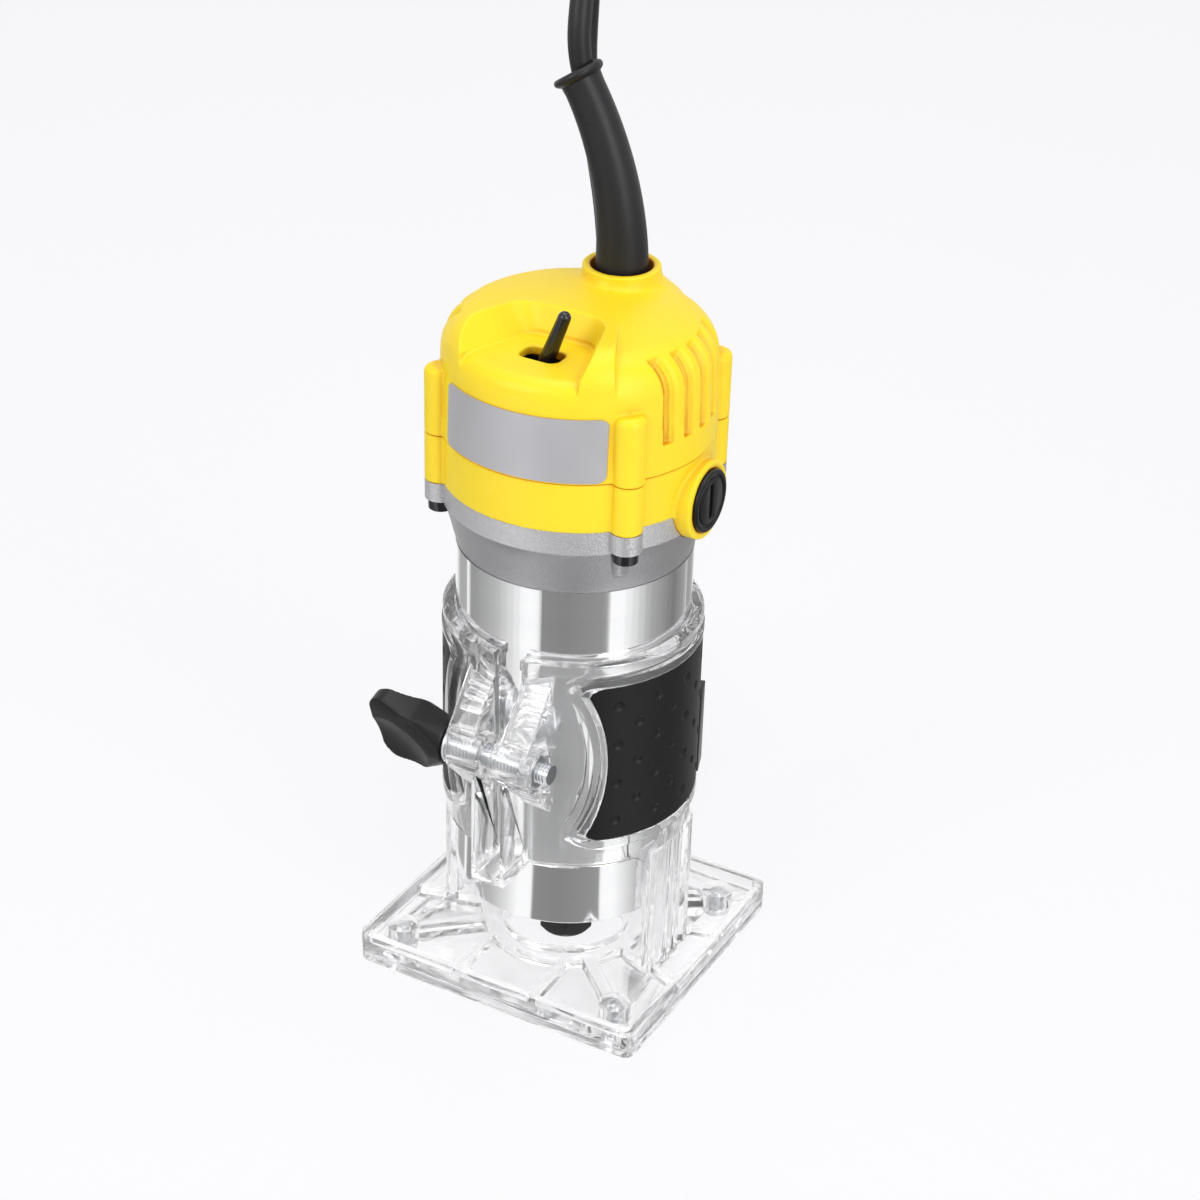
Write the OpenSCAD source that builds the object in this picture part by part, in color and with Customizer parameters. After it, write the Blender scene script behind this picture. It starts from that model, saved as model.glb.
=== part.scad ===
/* [Base plate] */
// Width of the plate along X
base_w = 90; // [86:1:110]
// Depth of the plate along Y
base_d = 85; // [82:1:105]
// Thickness of the clear upper plate
plate_t = 6; // [5:0.5:8]
// Thickness of the sub-base under it
sub_t = 3; // [3:0.5:5]
// Radius of the round opening for the cutter
opening_r = 17; // [14:0.5:18]

/* [Sleeve and clamp] */
// Wall of the clear sleeve
sleeve_wall = 2.3; // [2:0.1:2.8]
// Height of the sleeve's upper edge
sleeve_top = 113; // [111:0.5:116]
// Height of the arches between the legs
arch_top = 47.5; // [44:0.5:49]
// Width of the clamp slot at the front
slot_w = 8; // [7:0.5:9]
// Height of the clamp bolt
bolt_z = 85.3; // [82:0.5:88]
// Distance of the clamp bolt from the motor's axis
bolt_y = 42.5; // [42:0.5:45]

/* [Grips] */
// Top edge of the rubber grips
grip_top = 106; // [103:0.5:107]
// Bottom edge of the rubber grips
grip_bottom = 57; // [56:0.5:62]
// Half width of a grip at its corners
grip_half = 29; // [28:0.5:30]
// Half width of a grip at its waist
grip_waist = 25.3; // [24:0.1:26]

/* [Clamp knob] */
// Length of the knob from the ear to its end
knob_len = 23; // [21:1:30]
// Width of the knob's paddle
knob_w = 25; // [22:1:28]
// Lean of the paddle from upright
knob_lean = 18; // [0:1:45]

/* [Motor housing] */
// Diameter of the bright barrel
barrel_d = 65; // [64.5:0.1:66]
// Height of the barrel's lower end above the table
barrel_z = 26.4; // [25:0.1:28]
// Length of the bright part of the barrel
barrel_len = 108; // [106:0.5:112]
// Diameter of the yellow cap at its lower edge
cap_d = 74; // [73:0.2:76]
// Height of the yellow ring under the cap
ring_h = 14; // [13:0.5:16]
// Height of the cap's crown above the ring
cap_h = 34.5; // [34:0.5:37]
// Wall of the yellow mouldings
cap_wall = 2.6; // [2.2:0.1:3]
// Number of vent slots on each side
vent_count = 5; // [3:2:5]

/* [Switch] */
// Lean of the lever at each end of its throw
lever_lean = 21; // [10:1:22]
// Length of the lever above its pivot
lever_len = 19; // [14:0.5:22]

/* [Collet] */
// Diameter of the cutter shank
shank_d = 6; // [6:0.05:6.4]

/* [Mains lead] */
// Diameter of the cord
cord_d = 6.2; // [5.8:0.1:6.4]
// Length of the whole cord
cord_len = 1800; // [1750:10:1900]
// Length of the bend sleeve along its curve
relief_len = 53; // [50:1:56]

/* [Hidden] */
$fn = 64;
touch = 0.02;
slide_gap = 0.2;
body_gap = 0.3;
run_gap = 0.04;
fit_gap = 0.05;

base_top = sub_t + plate_t;
web_t = 2.5;
plate_corner_r = 3;
rim_w = 2.4;
ring_r = opening_r + 2;
ring_band = 6;
screw_x = base_w/2 - 10;
screw_y_front = -(base_d/2 - 9);
screw_y_back = base_d/2 - 13.5;
screw_places = [for (x = [-screw_x, screw_x]) for (y = [screw_y_front, screw_y_back]) [x, y]];
foot_boss_r = 4.5;
foot_boss_top = base_top + 1.5;
foot_screw_r = 1.9;
foot_head_r = 3.6;
foot_head_h = 1.8;
foot_recess = 0.4;

barrel_r = barrel_d/2;
bore_r = barrel_r + slide_gap;
sleeve_r = bore_r + sleeve_wall;
sleeve_rim_r = sleeve_r + 1;
sleeve_rim_h = 3;
leg_half = 20;
leg_edge = 9;
leg_r = sleeve_r + 1;
leg_web_r = bore_r + 1.6;
arch_r = 8;
arch_mid = leg_half + arch_r/sleeve_r*180/PI;
arch_step = 2;

ear_r = 6;
ear_wall = 1.5;
ear_web = 1.2;
ear_depth = 12.5;
ear_top = sleeve_top - 1.5;
ear_bottom = bolt_z - 22.3;
ear_root_y = -30;
ear_gap = 3.7;
ear_rib_t = 1.1;
ear_rib_step = 2.9;
ear_rib_count = 5;
boss_left = -slot_w/2 - 7.85;
boss_right = slot_w/2 + 10.6;
channel_bottom = arch_top - 2.5;
channel_front = -bolt_y - 2.5;
stud_r = 3;
stud_hole_r = stud_r + 0.25;
stud_end = boss_right + 3.6;
stud_sunk = 8;
nut_h = 4;
nut_flats = 9;
washer_t = 0.8;
washer_r = 5.6;
washer_room = 0.6;
washer_x = boss_left - body_gap;
hub_x = washer_x - washer_t - body_gap;
hub_r = 6.2;
hub_len = 3;
paddle_t = 5.5;
paddle_edge = 5;
neck_x = hub_x - 10;
neck_t = 9;
neck_edge = 4;
neck_half = knob_w/2 - 2;
scoop_r = 34;
scoop_depth = 1.6;
scoop_shift = 7;
knob_end = hub_x - knob_len;

grip_curve = 68;
grip_mid = (grip_top + grip_bottom)/2;
grip_corner = 3;
grip_recess_r = sleeve_r - 0.6;
grip_r = sleeve_r + 1.2;
border_r = sleeve_r + 1.3;
border_w = 2.7;
dimple_r = 1.3;
dimple_depth = 0.5;
dimple_turn = 10;
dimple_step = 12.2;

barrel_top = barrel_z + barrel_len;
barrel_wall = 2.4;
barrel_in = barrel_r - barrel_wall;
band_z = barrel_top + 12.1;
ring_z = band_z + 7;
cap_z = ring_z + ring_h;
cap_top = cap_z + cap_h;
cap_r = cap_d/2;
ring_r_out = cap_r - 0.2;
band_r = cap_r - 0.5;
head_in = cap_r - 3.6;
boss_angles = [40, 140, 220, 320];
boss_r = 4.3;
boss_place = cap_r - 0.3;
boss_top = cap_top - 15.7;
boss_edge = 2;
lug_z = band_z + 1.5;
seam_gap = 0.1;
spider_drop = 0.5;
house_screw_r = 1.9;
house_head_r = 3.4;
house_head_h = 3.4;
house_cross = 4;
house_screw_end = boss_top - 6;

shoulder_r = 11;
shoulder_turn = 80;
crown_start = cap_r - 0.6 - shoulder_r + shoulder_r*cos(shoulder_turn);
crown_r = crown_start/cos(shoulder_turn);
crown_z = cap_top - crown_r;
shoulder_z = crown_z + (crown_r - shoulder_r)*sin(shoulder_turn);
pocket_floor = cap_top - 7.5;
pocket_half = 10.5;
pocket_back = -9.3;
pocket_spread = 0.35;
pocket_corner = 4;
pocket_rise = 9;
pocket_flare = 4;
pocket_left = 18.5;
pocket_left_r = 8;
shelf_edge = 4.5;
shelf_flare = 0.5;
brow_half = 18;
brow_back = -3.5;
brow_spread = 0.5;
brow_corner = 9;
brow_top = cap_top - 0.4;
brow_low = cap_z + 16;
brow_draft = 1.2;
brow_edge = 9.4;
panel_r = cap_r - 0.8;
vent_w = 4.4;
vent_step = 7;
vent_z = cap_z + 8;
vent_reach = 31.2;
vent_lead = 1.2;
vent_depths = [3, 2.9, 2.5, 1.9, 1.2, 0.5];
vent_backing = 2;
collar_y = 21.6;
collar_top = cap_top + 3;
collar_r = 10.5;
collar_bore = 8.4;
collar_flare = [[collar_r, 0], [collar_r, 3], [12.5, 5.5], [16.5, 8.5], [19, 12], [19, 17]];
flange_r = 9.8;
flange_h = 3.3;
flange_z = collar_top - 11.1;
clamp_bar_h = 3.3;
clamp_bar_w = 8;
clamp_post_x = 11.5;
clamp_post_r = 3;
clamp_post_h = 3.4;
clamp_screw_r = 1.2;
label_t = 0.4;
label_from = -126;
label_to = -49;
label_h = 17.5;

slot_x = 11.5;
slot_y = 7.4;
switch_y = -19.5;
switch_top = pocket_floor - cap_wall;
switch_w = 18;
switch_d = 11;
switch_h = 16;
pivot_z = switch_top - 2;
pivot_r = 1;
lever_r = 2.25;
lever_tip_r = 1.75;
lever_ball = 2.6;
lever_room = 5.4;

brush_z = ring_z + 1.5;
brush_boss_r = 10.8;
brush_face = cap_r + 2.5;
brush_boss_in = cap_r - 6.5;
brush_cap_r = 8.6;
brush_cap_t = 2.2;
brush_bore_r = 6.2;
brush_inner_r = 8;
brush_inner_x = 20;
holder_from = 14;
holder_to = brush_face - 3.5;
holder_r = 6.1;
brush_w = 5;
brush_h = 8;
brush_len = 16;
spring_r = 2.2;
commutator_r = 11;
brush_tip = commutator_r + 0.2;

bearing_z = barrel_z + 2.6;
low_bearing = [12, 28, 8];
up_bearing = [6, 19, 6];
housing_wall = 3;
end_hole_r = 10.5;
exhaust_r = 3.5;
exhaust_place = 23.5;
stack_z = barrel_z + 52;
stack_h = 50;
stator_in = 17.2;
yoke_in = 24;
shoe_out = 19.5;
pole_half = 9;
shoe_gap = 28;
coil_over = 8;
core_r = 16.8;
shaft_r = 5;
shaft_fan_r = 5.5;
shaft_step_r = 8;
winding_r = 5.4;
core_z = stack_z + 2;
core_h = stack_h - 5;
core_slots = 12;
slot_place = 14.5;
slot_r = 1.9;
slot_mouth = 1.6;
fan_z = barrel_z + 16;
fan_h = 12;
fan_r = barrel_in - 1.8;
fan_blades = 12;
fan_hub_r = 9;
spider_z = cap_z - 3.5;
spider_h = 8;
up_bearing_z = spider_z + 1;
commutator_z = brush_z - 9;
commutator_h = 17;

nose_z = barrel_z - 17.4;
nose_r = 6.2;
nose_bore = 4.8;
collet_flange = 5.9;
collet_r = nose_bore - run_gap;
collet_bore = shank_d/2;
collet_len = 15;
collet_cut = 0.8;
nut_bottom = nose_z - 6;
nut_top = nose_z + 7.5;
nut_across = 15;
nut_lip = 2.7;
nut_hole = 4.2;

relief_bend = 90;
relief_turn = relief_len/relief_bend*180/PI;
relief_steps = 14;
relief_sides = 24;
relief_base_r = 7.1;
relief_tip_r = 5.4;
relief_lip_r = 7.2;
relief_bore = 4.3;
relief_mouth = 6;
bore_start = 0.6;

strap_t = 1;
strap_w = 9;
floor_z = cord_d/2 + strap_t + 0.4;
pitch = cord_d + 0.7;
coil_x = -46;
coil_y = 86;
coil_turns = 6.75;
layer_turns = 1.75;
rings_per_turn = 24;
coil_sides = 6;
lead_sides = 10;
lead_steps = 2;
tail_climb = 65;
tail_turn = 150;
tail_r = 25.5;
free_len = 497;
lead_gap = 1;
coil_r = (cord_len - free_len)/(2*PI*coil_turns);
plug_len = 26;
plug_w = 22;
plug_t = 13;
blade_len = 16;
blade_w = 6.3;
blade_t = 1.5;
blade_step = 12.7;
plug_z = floor_z + 3*pitch + cord_d/2 + body_gap + plug_t/2;
strap_turn = 20;

// A round tube about Z
module tube(r_in, r_out, z0, z1) {
  translate([0, 0, z0]) linear_extrude(z1 - z0) difference() {
    circle(r_out);
    circle(r_in);
  }
}

// A solid cylinder along X between two places
module rod_x(r, x0, x1) {
  translate([x0, 0, 0]) rotate([0, 90, 0]) cylinder(r = r, h = x1 - x0);
}

// A rectangle with round corners about its centre
module round_rect(w, d, r) {
  square([w - 2*r, d], center = true);
  square([w, d - 2*r], center = true);
  for (x = [-1, 1])
    for (y = [-1, 1])
      translate([x*(w/2 - r), y*(d/2 - r)]) circle(r);
}

// A wedge from the axis between two angles less than a half turn apart
module wedge(a0, a1) {
  far = 120;
  mid = (a0 + a1)/2;
  polygon([[0, 0], far*[cos(a0), sin(a0)], 2*far*[cos(mid), sin(mid)], far*[cos(a1), sin(a1)]]);
}

// A piece of a flat ring between two angles
module sector(r_in, r_out, a0, a1) {
  intersection() {
    difference() {
      circle(r_out);
      circle(r_in);
    }
    wedge(a0, a1);
  }
}

// A straight strip between two points
module strip(p, q, w) {
  d = q - p;
  translate(p) rotate(atan2(d[1], d[0])) translate([0, -w/2]) square([norm(d), w]);
}

// Turns an outline drawn in Y and Z to stand across X
module across_x(x0, x1) {
  translate([x0, 0, 0]) rotate([90, 0, 90]) linear_extrude(x1 - x0) children();
}

module plate_outline(inset = 0) {
  round_rect(base_w - 2*inset, base_d - 2*inset, plate_corner_r - min(inset, 1));
}

// Raised ribs of the plate, the same at the front and the back
module plate_ribs() {
  rib_x = 12.3;
  edge_y = base_d/2 - rim_w/2;
  side_x = base_w/2 - rim_w/2;
  for (x = [-1, 1]) {
    for (y = [-1, 1]) {
      strip([x*rib_x, y*(ring_r + 1)], [x*rib_x, y*edge_y], 2.5);
      strip([x*(ring_r + 2), y*7.5], [x*side_x, y*14], 2);
    }
    strip([x*16, -16], [x*screw_x, screw_y_front], 4);
    strip([x*16, 16], [x*screw_x, screw_y_back], 4);
  }
}

module base_plate() {
  translate([0, 0, sub_t]) linear_extrude(web_t) plate_outline();
  translate([0, 0, sub_t]) linear_extrude(plate_t) {
    difference() {
      plate_outline();
      plate_outline(rim_w);
    }
    circle(ring_r + ring_band);
    plate_ribs();
  }
  for (p = screw_places)
    translate([p[0], p[1], sub_t]) cylinder(r = foot_boss_r, h = foot_boss_top - sub_t);
}

// One leg's plan: a thin wall with thick edges and two thin ribs
module leg_plan() {
  sector(bore_r, leg_web_r, -leg_half, leg_half);
  sector(bore_r, leg_r, leg_half - leg_edge, leg_half);
  sector(bore_r, leg_r, -leg_half, -leg_half + leg_edge);
  for (a = [-4, 4])
    sector(bore_r, leg_r - 0.6, a - 1.4, a + 1.4);
}

// The rounded corner where an arch meets a leg
module arch_corner() {
  difference() {
    translate([0, 0, arch_top - arch_r]) linear_extrude(arch_r + touch)
      sector(bore_r, sleeve_r, leg_half - 1, arch_mid - arch_step);
    rotate([0, 0, arch_mid]) translate([0, 0, arch_top - arch_r])
      rod_x(arch_r, bore_r - 5, sleeve_r + 5);
  }
}

module legs() {
  for (turn = [0, 180])
    rotate([0, 0, turn]) {
      translate([0, 0, sub_t]) linear_extrude(arch_top - sub_t + touch) leg_plan();
      arch_corner();
      mirror([0, 1, 0]) arch_corner();
    }
}

// Outline of a grip in Y and Z: square ends and hollow sides
module grip_outline(grow = 0) {
  side = grip_waist + grip_curve;
  high = grip_top - grip_bottom + 2*grow;
  translate([0, grip_mid]) difference() {
    round_rect(2*(grip_half + grow), high, grip_corner + grow);
    for (y = [-1, 1])
      translate([y*side, 0]) circle(grip_curve - grow, $fn = 180);
  }
}

// The part of a round wall that lies inside an outline on one side
module wall_patch(r_in, r_out, side) {
  intersection() {
    tube(r_in, r_out, grip_bottom - 6, grip_top + 6);
    across_x(side > 0 ? 0 : -50, side > 0 ? 50 : 0) children();
  }
}

module grip_border(side) {
  difference() {
    wall_patch(sleeve_r - touch, border_r, side) grip_outline(border_w);
    wall_patch(grip_recess_r, border_r + 1, side) grip_outline();
  }
}

// Direction from the bolt to where a line from a point touches the ear's round end
function ear_dir(p, turn) =
  let (d = p - [-bolt_y, bolt_z])
  atan2(d[1], d[0]) + turn*acos(ear_r/norm(d));

module ear_outline(inset = 0) {
  hub = [-bolt_y, bolt_z];
  top = [ear_root_y, ear_top];
  low = [ear_root_y, ear_bottom];
  up_n = [cos(ear_dir(top, 1)), sin(ear_dir(top, 1))];
  low_n = [cos(ear_dir(low, -1)), sin(ear_dir(low, -1))];
  translate(hub) circle(ear_r - inset);
  polygon([top - inset*up_n, hub + (ear_r - inset)*up_n, hub + (ear_r - inset)*low_n,
    low - inset*low_n]);
}

// One ear: a thin web, a border wall round a pocket, and thin level ribs in the pocket
module ear() {
  web_x = slot_w/2;
  rib_top = ear_top - 4.5;
  rib_low = ear_bottom + 4;
  across_x(web_x, web_x + ear_web) {
    ear_outline();
    translate([channel_front, channel_bottom])
      square([ear_root_y - channel_front, bolt_z - channel_bottom]);
  }
  across_x(web_x, ear_depth) difference() {
    ear_outline();
    ear_outline(ear_wall);
  }
  across_x(web_x, ear_depth - 1) intersection() {
    ear_outline();
    for (i = [0:ear_rib_count - 1])
      translate([ear_root_y - 20, 0]) {
        translate([0, rib_top - i*ear_rib_step]) square([20, ear_rib_t]);
        translate([0, rib_low + i*ear_rib_step]) square([20, ear_rib_t]);
      }
  }
}

// The slot, open at the top and round at its foot
module clamp_slot() {
  foot = channel_bottom + slot_w/2 + 1.5;
  translate([-slot_w/2, -60, foot]) cube([slot_w, 35, 100]);
  translate([0, -25, foot]) rotate([90, 0, 0]) cylinder(d = slot_w, h = 35);
}

module channel_block() {
  half = slot_w/2 + ear_web;
  translate([-half, channel_front, channel_bottom])
    cube([2*half, ear_root_y - channel_front, slot_w/2 + 3]);
}

module at_bolt() {
  translate([0, -bolt_y, bolt_z]) children();
}

module base_body() {
  color([0.86, 0.9, 0.93, 0.45]) difference() {
    union() {
      base_plate();
      legs();
      difference() {
        union() {
          tube(bore_r, sleeve_r, arch_top, sleeve_top);
          tube(bore_r, sleeve_rim_r, sleeve_top - sleeve_rim_h, sleeve_top);
          channel_block();
          ear();
          mirror([1, 0, 0]) ear();
        }
        clamp_slot();
      }
      for (side = [-1, 1])
        grip_border(side);
      at_bolt() {
        rod_x(ear_r, boss_left, -ear_gap/2);
        rod_x(ear_r, ear_gap/2, boss_right);
      }
    }
    translate([0, 0, base_top]) cylinder(r = bore_r, h = 200);
    translate([0, 0, -1]) cylinder(r = ring_r, h = 40);
    at_bolt() {
      rod_x(stud_hole_r, -50, 50);
      rod_x(washer_r + washer_room, boss_left - 10, boss_left);
      hex_x(nut_flats + 2*fit_gap, boss_right - nut_h, boss_right + 1);
    }
    for (side = [-1, 1])
      wall_patch(grip_recess_r, border_r + 1, side) grip_outline();
    for (p = screw_places)
      translate([p[0], p[1], 0]) cylinder(r = foot_screw_r + fit_gap, h = foot_boss_top - 0.7);
  }
}

module sub_base() {
  color([0.88, 0.92, 0.95, 0.45]) difference() {
    linear_extrude(sub_t) plate_outline();
    translate([0, 0, -1]) cylinder(r = opening_r, h = sub_t + 2);
    for (p = screw_places)
      translate([p[0], p[1], 0]) {
        translate([0, 0, -1]) cylinder(r = foot_screw_r + fit_gap, h = sub_t + 2);
        translate([0, 0, -1]) cylinder(r = foot_head_r + fit_gap, h = foot_recess + 1);
        translate([0, 0, foot_recess - touch])
          cylinder(r1 = foot_head_r + fit_gap, r2 = foot_screw_r + fit_gap, h = foot_head_h);
      }
  }
}

// A cross shaped driver recess
module cross_recess(size, depth) {
  for (turn = [0, 90])
    rotate([0, 0, turn]) translate([-size/2, -0.5, -touch]) cube([size, 1, depth]);
}

module sub_base_screws() {
  color("silver") for (p = screw_places)
    translate([p[0], p[1], foot_recess]) difference() {
      union() {
        cylinder(r1 = foot_head_r, r2 = foot_screw_r, h = foot_head_h);
        cylinder(r = foot_screw_r, h = foot_boss_top - 1.2 - foot_recess);
      }
      cross_recess(3.6, 1.2);
    }
}

// A rubber pad with staggered dimples
module grip(side) {
  facing = side > 0 ? 0 : 180;
  color("#2a2a2c") difference() {
    wall_patch(grip_recess_r, grip_r, side) grip_outline();
    for (i = [-4:4])
      for (k = [0:i % 2 == 0 ? 3 : 2])
        rotate([0, 0, facing + i*dimple_turn])
          translate([0, 0, grip_mid + (k - (i % 2 == 0 ? 1.5 : 1))*dimple_step])
            rod_x(dimple_r, grip_r - dimple_depth, grip_r + 1);
  }
}

module grip_left() { grip(-1); }
module grip_right() { grip(1); }

// A hexagon bar along X between two places
module hex_x(flats, x0, x1) {
  translate([x0, 0, 0]) rotate([0, 90, 0]) cylinder(d = flats/cos(30), h = x1 - x0, $fn = 6);
}

module clamp_nut() {
  color("silver") at_bolt() difference() {
    hex_x(nut_flats, boss_right - nut_h, boss_right - touch);
    rod_x(stud_r + fit_gap, boss_right - nut_h - 1, boss_right + 1);
  }
}

module clamp_washer() {
  color("silver") at_bolt() difference() {
    rod_x(washer_r, washer_x - washer_t, washer_x);
    rod_x(stud_hole_r, washer_x - 2*washer_t, washer_x + 1);
  }
}

// A short round bar across the key, with its ends in Y
module key_bar(x, z, r, t) {
  translate([x, 0, z]) rotate([90, 0, 0]) cylinder(r = r, h = t, center = true, $fn = 40);
}

// A paddle key: round hub, flared neck and a broad leaf hollowed on both faces
module clamp_knob() {
  color("#232325") at_bolt() difference() {
    rotate([knob_lean, 0, 0]) difference() {
      union() {
        hull() {
          rod_x(hub_r, hub_x - hub_len, hub_x, $fn = 48);
          for (z = [-1, 1])
            key_bar(neck_x, z*(neck_half - neck_edge), neck_edge, neck_t - 1);
        }
        hull()
          for (z = [-1, 1]) {
            key_bar(neck_x, z*(neck_half - neck_edge), neck_edge, neck_t);
            key_bar(knob_end + paddle_edge, z*(knob_w/2 - paddle_edge), paddle_edge, paddle_t);
          }
      }
      for (turn = [0, 180])
        rotate([turn, 0, 0])
          translate([knob_end + 2, -paddle_t/2 - scoop_r + scoop_depth, -scoop_shift])
            sphere(r = scoop_r, $fn = 180);
    }
    rod_x(stud_r, hub_x - stud_sunk, hub_x + 1);
  }
}

module clamp_stud() {
  color("gainsboro") at_bolt() rod_x(stud_r, hub_x - stud_sunk, stud_end);
}

module at_bosses() {
  for (a = boss_angles)
    rotate([0, 0, a]) translate([boss_place, 0, 0]) children();
}

// A post with a rounded top
module round_post(r, h, edge) {
  rotate_extrude() {
    square([r, h - edge]);
    square([r - edge, h]);
    translate([r - edge, h - edge]) circle(edge);
  }
}

// Cylinders along the two brushes
module at_brushes() {
  for (turn = [0, 180])
    rotate([0, 0, turn]) translate([0, 0, brush_z]) children();
}

module motor_casting() {
  seat_r = low_bearing[1]/2 + fit_gap;
  seat_top = bearing_z + low_bearing[2];
  color("#c4c6c8") difference() {
    union() {
      rotate_extrude($fn = 180) polygon([[end_hole_r, barrel_z], [barrel_r - 0.8, barrel_z],
        [barrel_r, barrel_z + 0.8], [barrel_r, barrel_top], [band_r - 0.6, band_z],
        [band_r, band_z + 0.6], [band_r, ring_z], [head_in, ring_z], [head_in, band_z + 1],
        [barrel_in, barrel_top - 0.5], [barrel_in, seat_top + 3], [seat_r + housing_wall, seat_top],
        [seat_r + housing_wall, bearing_z], [end_hole_r, bearing_z]]);
      tube(seat_r, seat_r + housing_wall, bearing_z, seat_top);
      tube(seat_r + housing_wall - touch, barrel_in + touch, barrel_z + touch, bearing_z);
      intersection() {
        at_bosses() translate([0, 0, lug_z]) cylinder(r = boss_r, h = ring_z - lug_z);
        tube(head_in, cap_r + 10, lug_z, ring_z);
      }
    }
    at_bosses() {
      translate([0, 0, lug_z - 10]) cylinder(r = house_screw_r + 0.2, h = 40);
      translate([0, 0, lug_z - 10]) cylinder(r = house_head_r + body_gap, h = 10);
    }
    at_brushes() rod_x(brush_boss_r + slide_gap, brush_boss_in - 1, cap_r + 10);
    for (i = [0:5])
      rotate([0, 0, 60*i]) translate([exhaust_place, 0, barrel_z - 1])
        cylinder(r = exhaust_r, h = bearing_z - barrel_z + 12);
  }
}

// Yellow ring with the brush bosses and the spider that holds the upper bearing
module motor_ring() {
  seat_r = up_bearing[1]/2 + fit_gap;
  color("#fbe23a") difference() {
    union() {
      tube(head_in, ring_r_out, ring_z, cap_z);
      at_bosses() translate([0, 0, ring_z]) cylinder(r = boss_r, h = ring_h - seam_gap);
      at_brushes() {
        rod_x(brush_boss_r, brush_boss_in, brush_face);
        rod_x(brush_inner_r, brush_inner_x, brush_boss_in + 1);
      }
      translate([0, 0, spider_z]) linear_extrude(cap_z - spider_drop - spider_z) intersection() {
        for (turn = [45, 135])
          rotate(turn) square([2*cap_r, 7], center = true);
        circle(head_in + 1);
      }
      translate([0, 0, spider_z]) cylinder(r = seat_r + 3, h = spider_h);
    }
    translate([0, 0, up_bearing_z]) cylinder(r = seat_r, h = 20);
    translate([0, 0, spider_z - 10]) cylinder(r = up_bearing[1]/2 - 2.5, h = 40);
    at_bosses() translate([0, 0, ring_z - 1]) cylinder(r = house_screw_r + 0.1, h = ring_h + 2);
    at_brushes() {
      rod_x(brush_cap_r + fit_gap, brush_face - brush_cap_t + 1, brush_face + 1);
      rod_x(brush_bore_r, brush_inner_x - 1, brush_face + 1);
    }
  }
}

// Half section of the cap, set in by a wall
module cap_section(inset = 0) {
  low_r = cap_r - inset;
  turn_r = cap_r - 0.6 - shoulder_r;
  intersection() {
    translate([0, cap_z]) square([60, 60]);
    union() {
      polygon([[0, cap_z], [low_r, cap_z], [low_r - 0.6, shoulder_z], [0, shoulder_z]]);
      translate([turn_r, shoulder_z]) circle(shoulder_r - inset, $fn = 120);
      translate([0, shoulder_z - touch])
        square([crown_start - inset*cos(shoulder_turn), (shoulder_r - inset)*sin(shoulder_turn)]);
      intersection() {
        translate([0, crown_z]) circle(crown_r - inset, $fn = 240);
        translate([0, shoulder_z]) square([crown_start - inset*cos(shoulder_turn), 60]);
      }
    }
  }
}

// A drum with a rounded upper edge
module drum(r, top, edge) {
  rotate_extrude($fn = 120) {
    translate([0, cap_z]) square([r, top - edge - cap_z]);
    translate([0, top - edge - touch]) square([r - edge, edge + touch]);
    translate([r - edge, top - edge]) circle(edge);
  }
}

// Upright posts at the corners of a space that widens towards the front, flared to a second radius
module fan_posts(half, back, spread, corner, z0, z1, flare) {
  front = 60;
  reach = spread*(front + back - corner);
  for (x = [-1, 1]) {
    translate([x*(half - corner), back - corner, z0])
      cylinder(r1 = corner, r2 = corner + flare, h = z1 - z0, $fn = 40);
    translate([x*(half - corner + reach), -front, z0])
      cylinder(r1 = corner, r2 = corner + flare, h = z1 - z0, $fn = 8);
  }
}

// The brow over the front panel, squarer than the dome, in which the switch pocket lies
module brow(inset = 0) {
  intersection() {
    drum(panel_r - inset, brow_top - inset, brow_edge);
    hull()
      fan_posts(brow_half - inset, brow_back - inset, brow_spread, brow_corner,
        brow_low, cap_top, -brow_draft);
  }
}

// The switch pocket, grown by a wall to make its lining. Its left wall lies flatter than the right.
module pocket(grow = 0) {
  top = pocket_floor + pocket_rise;
  r = pocket_left_r + grow;
  hull() {
    fan_posts(pocket_half + grow, pocket_back + grow, pocket_spread, pocket_corner + grow,
      pocket_floor - grow, top, pocket_flare);
    for (y = [pocket_back + pocket_flare + grow - r, -60])
      translate([-pocket_left - grow + r, y, top - touch]) cylinder(r = r, h = touch, $fn = 40);
  }
}

// What is taken off in front of the pocket to round the edge of its floor
module shelf_front() {
  difference() {
    hull()
      fan_posts(pocket_half, pocket_back, pocket_spread, pocket_corner, pocket_floor - shelf_edge,
        pocket_floor + 1, shelf_flare);
    drum(panel_r, pocket_floor, shelf_edge);
  }
}

// Raised collar round the bend sleeve, flaring into the dome
module collar() {
  intersection() {
    translate([0, collar_y, collar_top]) rotate_extrude()
      polygon(concat([[0, 0]], [for (p = collar_flare) [p[0], -p[1]]], [[0, -17]]));
    cylinder(r = cap_r - 0.8, h = 300);
  }
}

// The space between the cap's surface and a depth under it, over the vents of one side
module vent_zone(depth) {
  intersection() {
    difference() {
      rotate_extrude($fn = 180) cap_section(-1);
      rotate_extrude($fn = 180) cap_section(depth);
    }
    translate([0, 0, vent_z]) difference() {
      cylinder(r = cap_r + 2, h = cap_h);
      translate([0, 0, -1]) cylinder(r = vent_reach, h = cap_h + 2);
    }
  }
}

// Curved grooves over the shoulder, deepest along their front edge
module vents() {
  step_w = vent_w/len(vent_depths);
  for (side = [0, 1])
    mirror([side, 0, 0])
      for (k = [0:len(vent_depths) - 1])
        intersection() {
          vent_zone(vent_depths[k]);
          for (i = [0:vent_count - 1])
            translate([0, (i - (vent_count - 1)/2)*vent_step - vent_lead + k*step_w, 0])
              cube([60, step_w + touch, 300]);
        }
}

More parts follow.
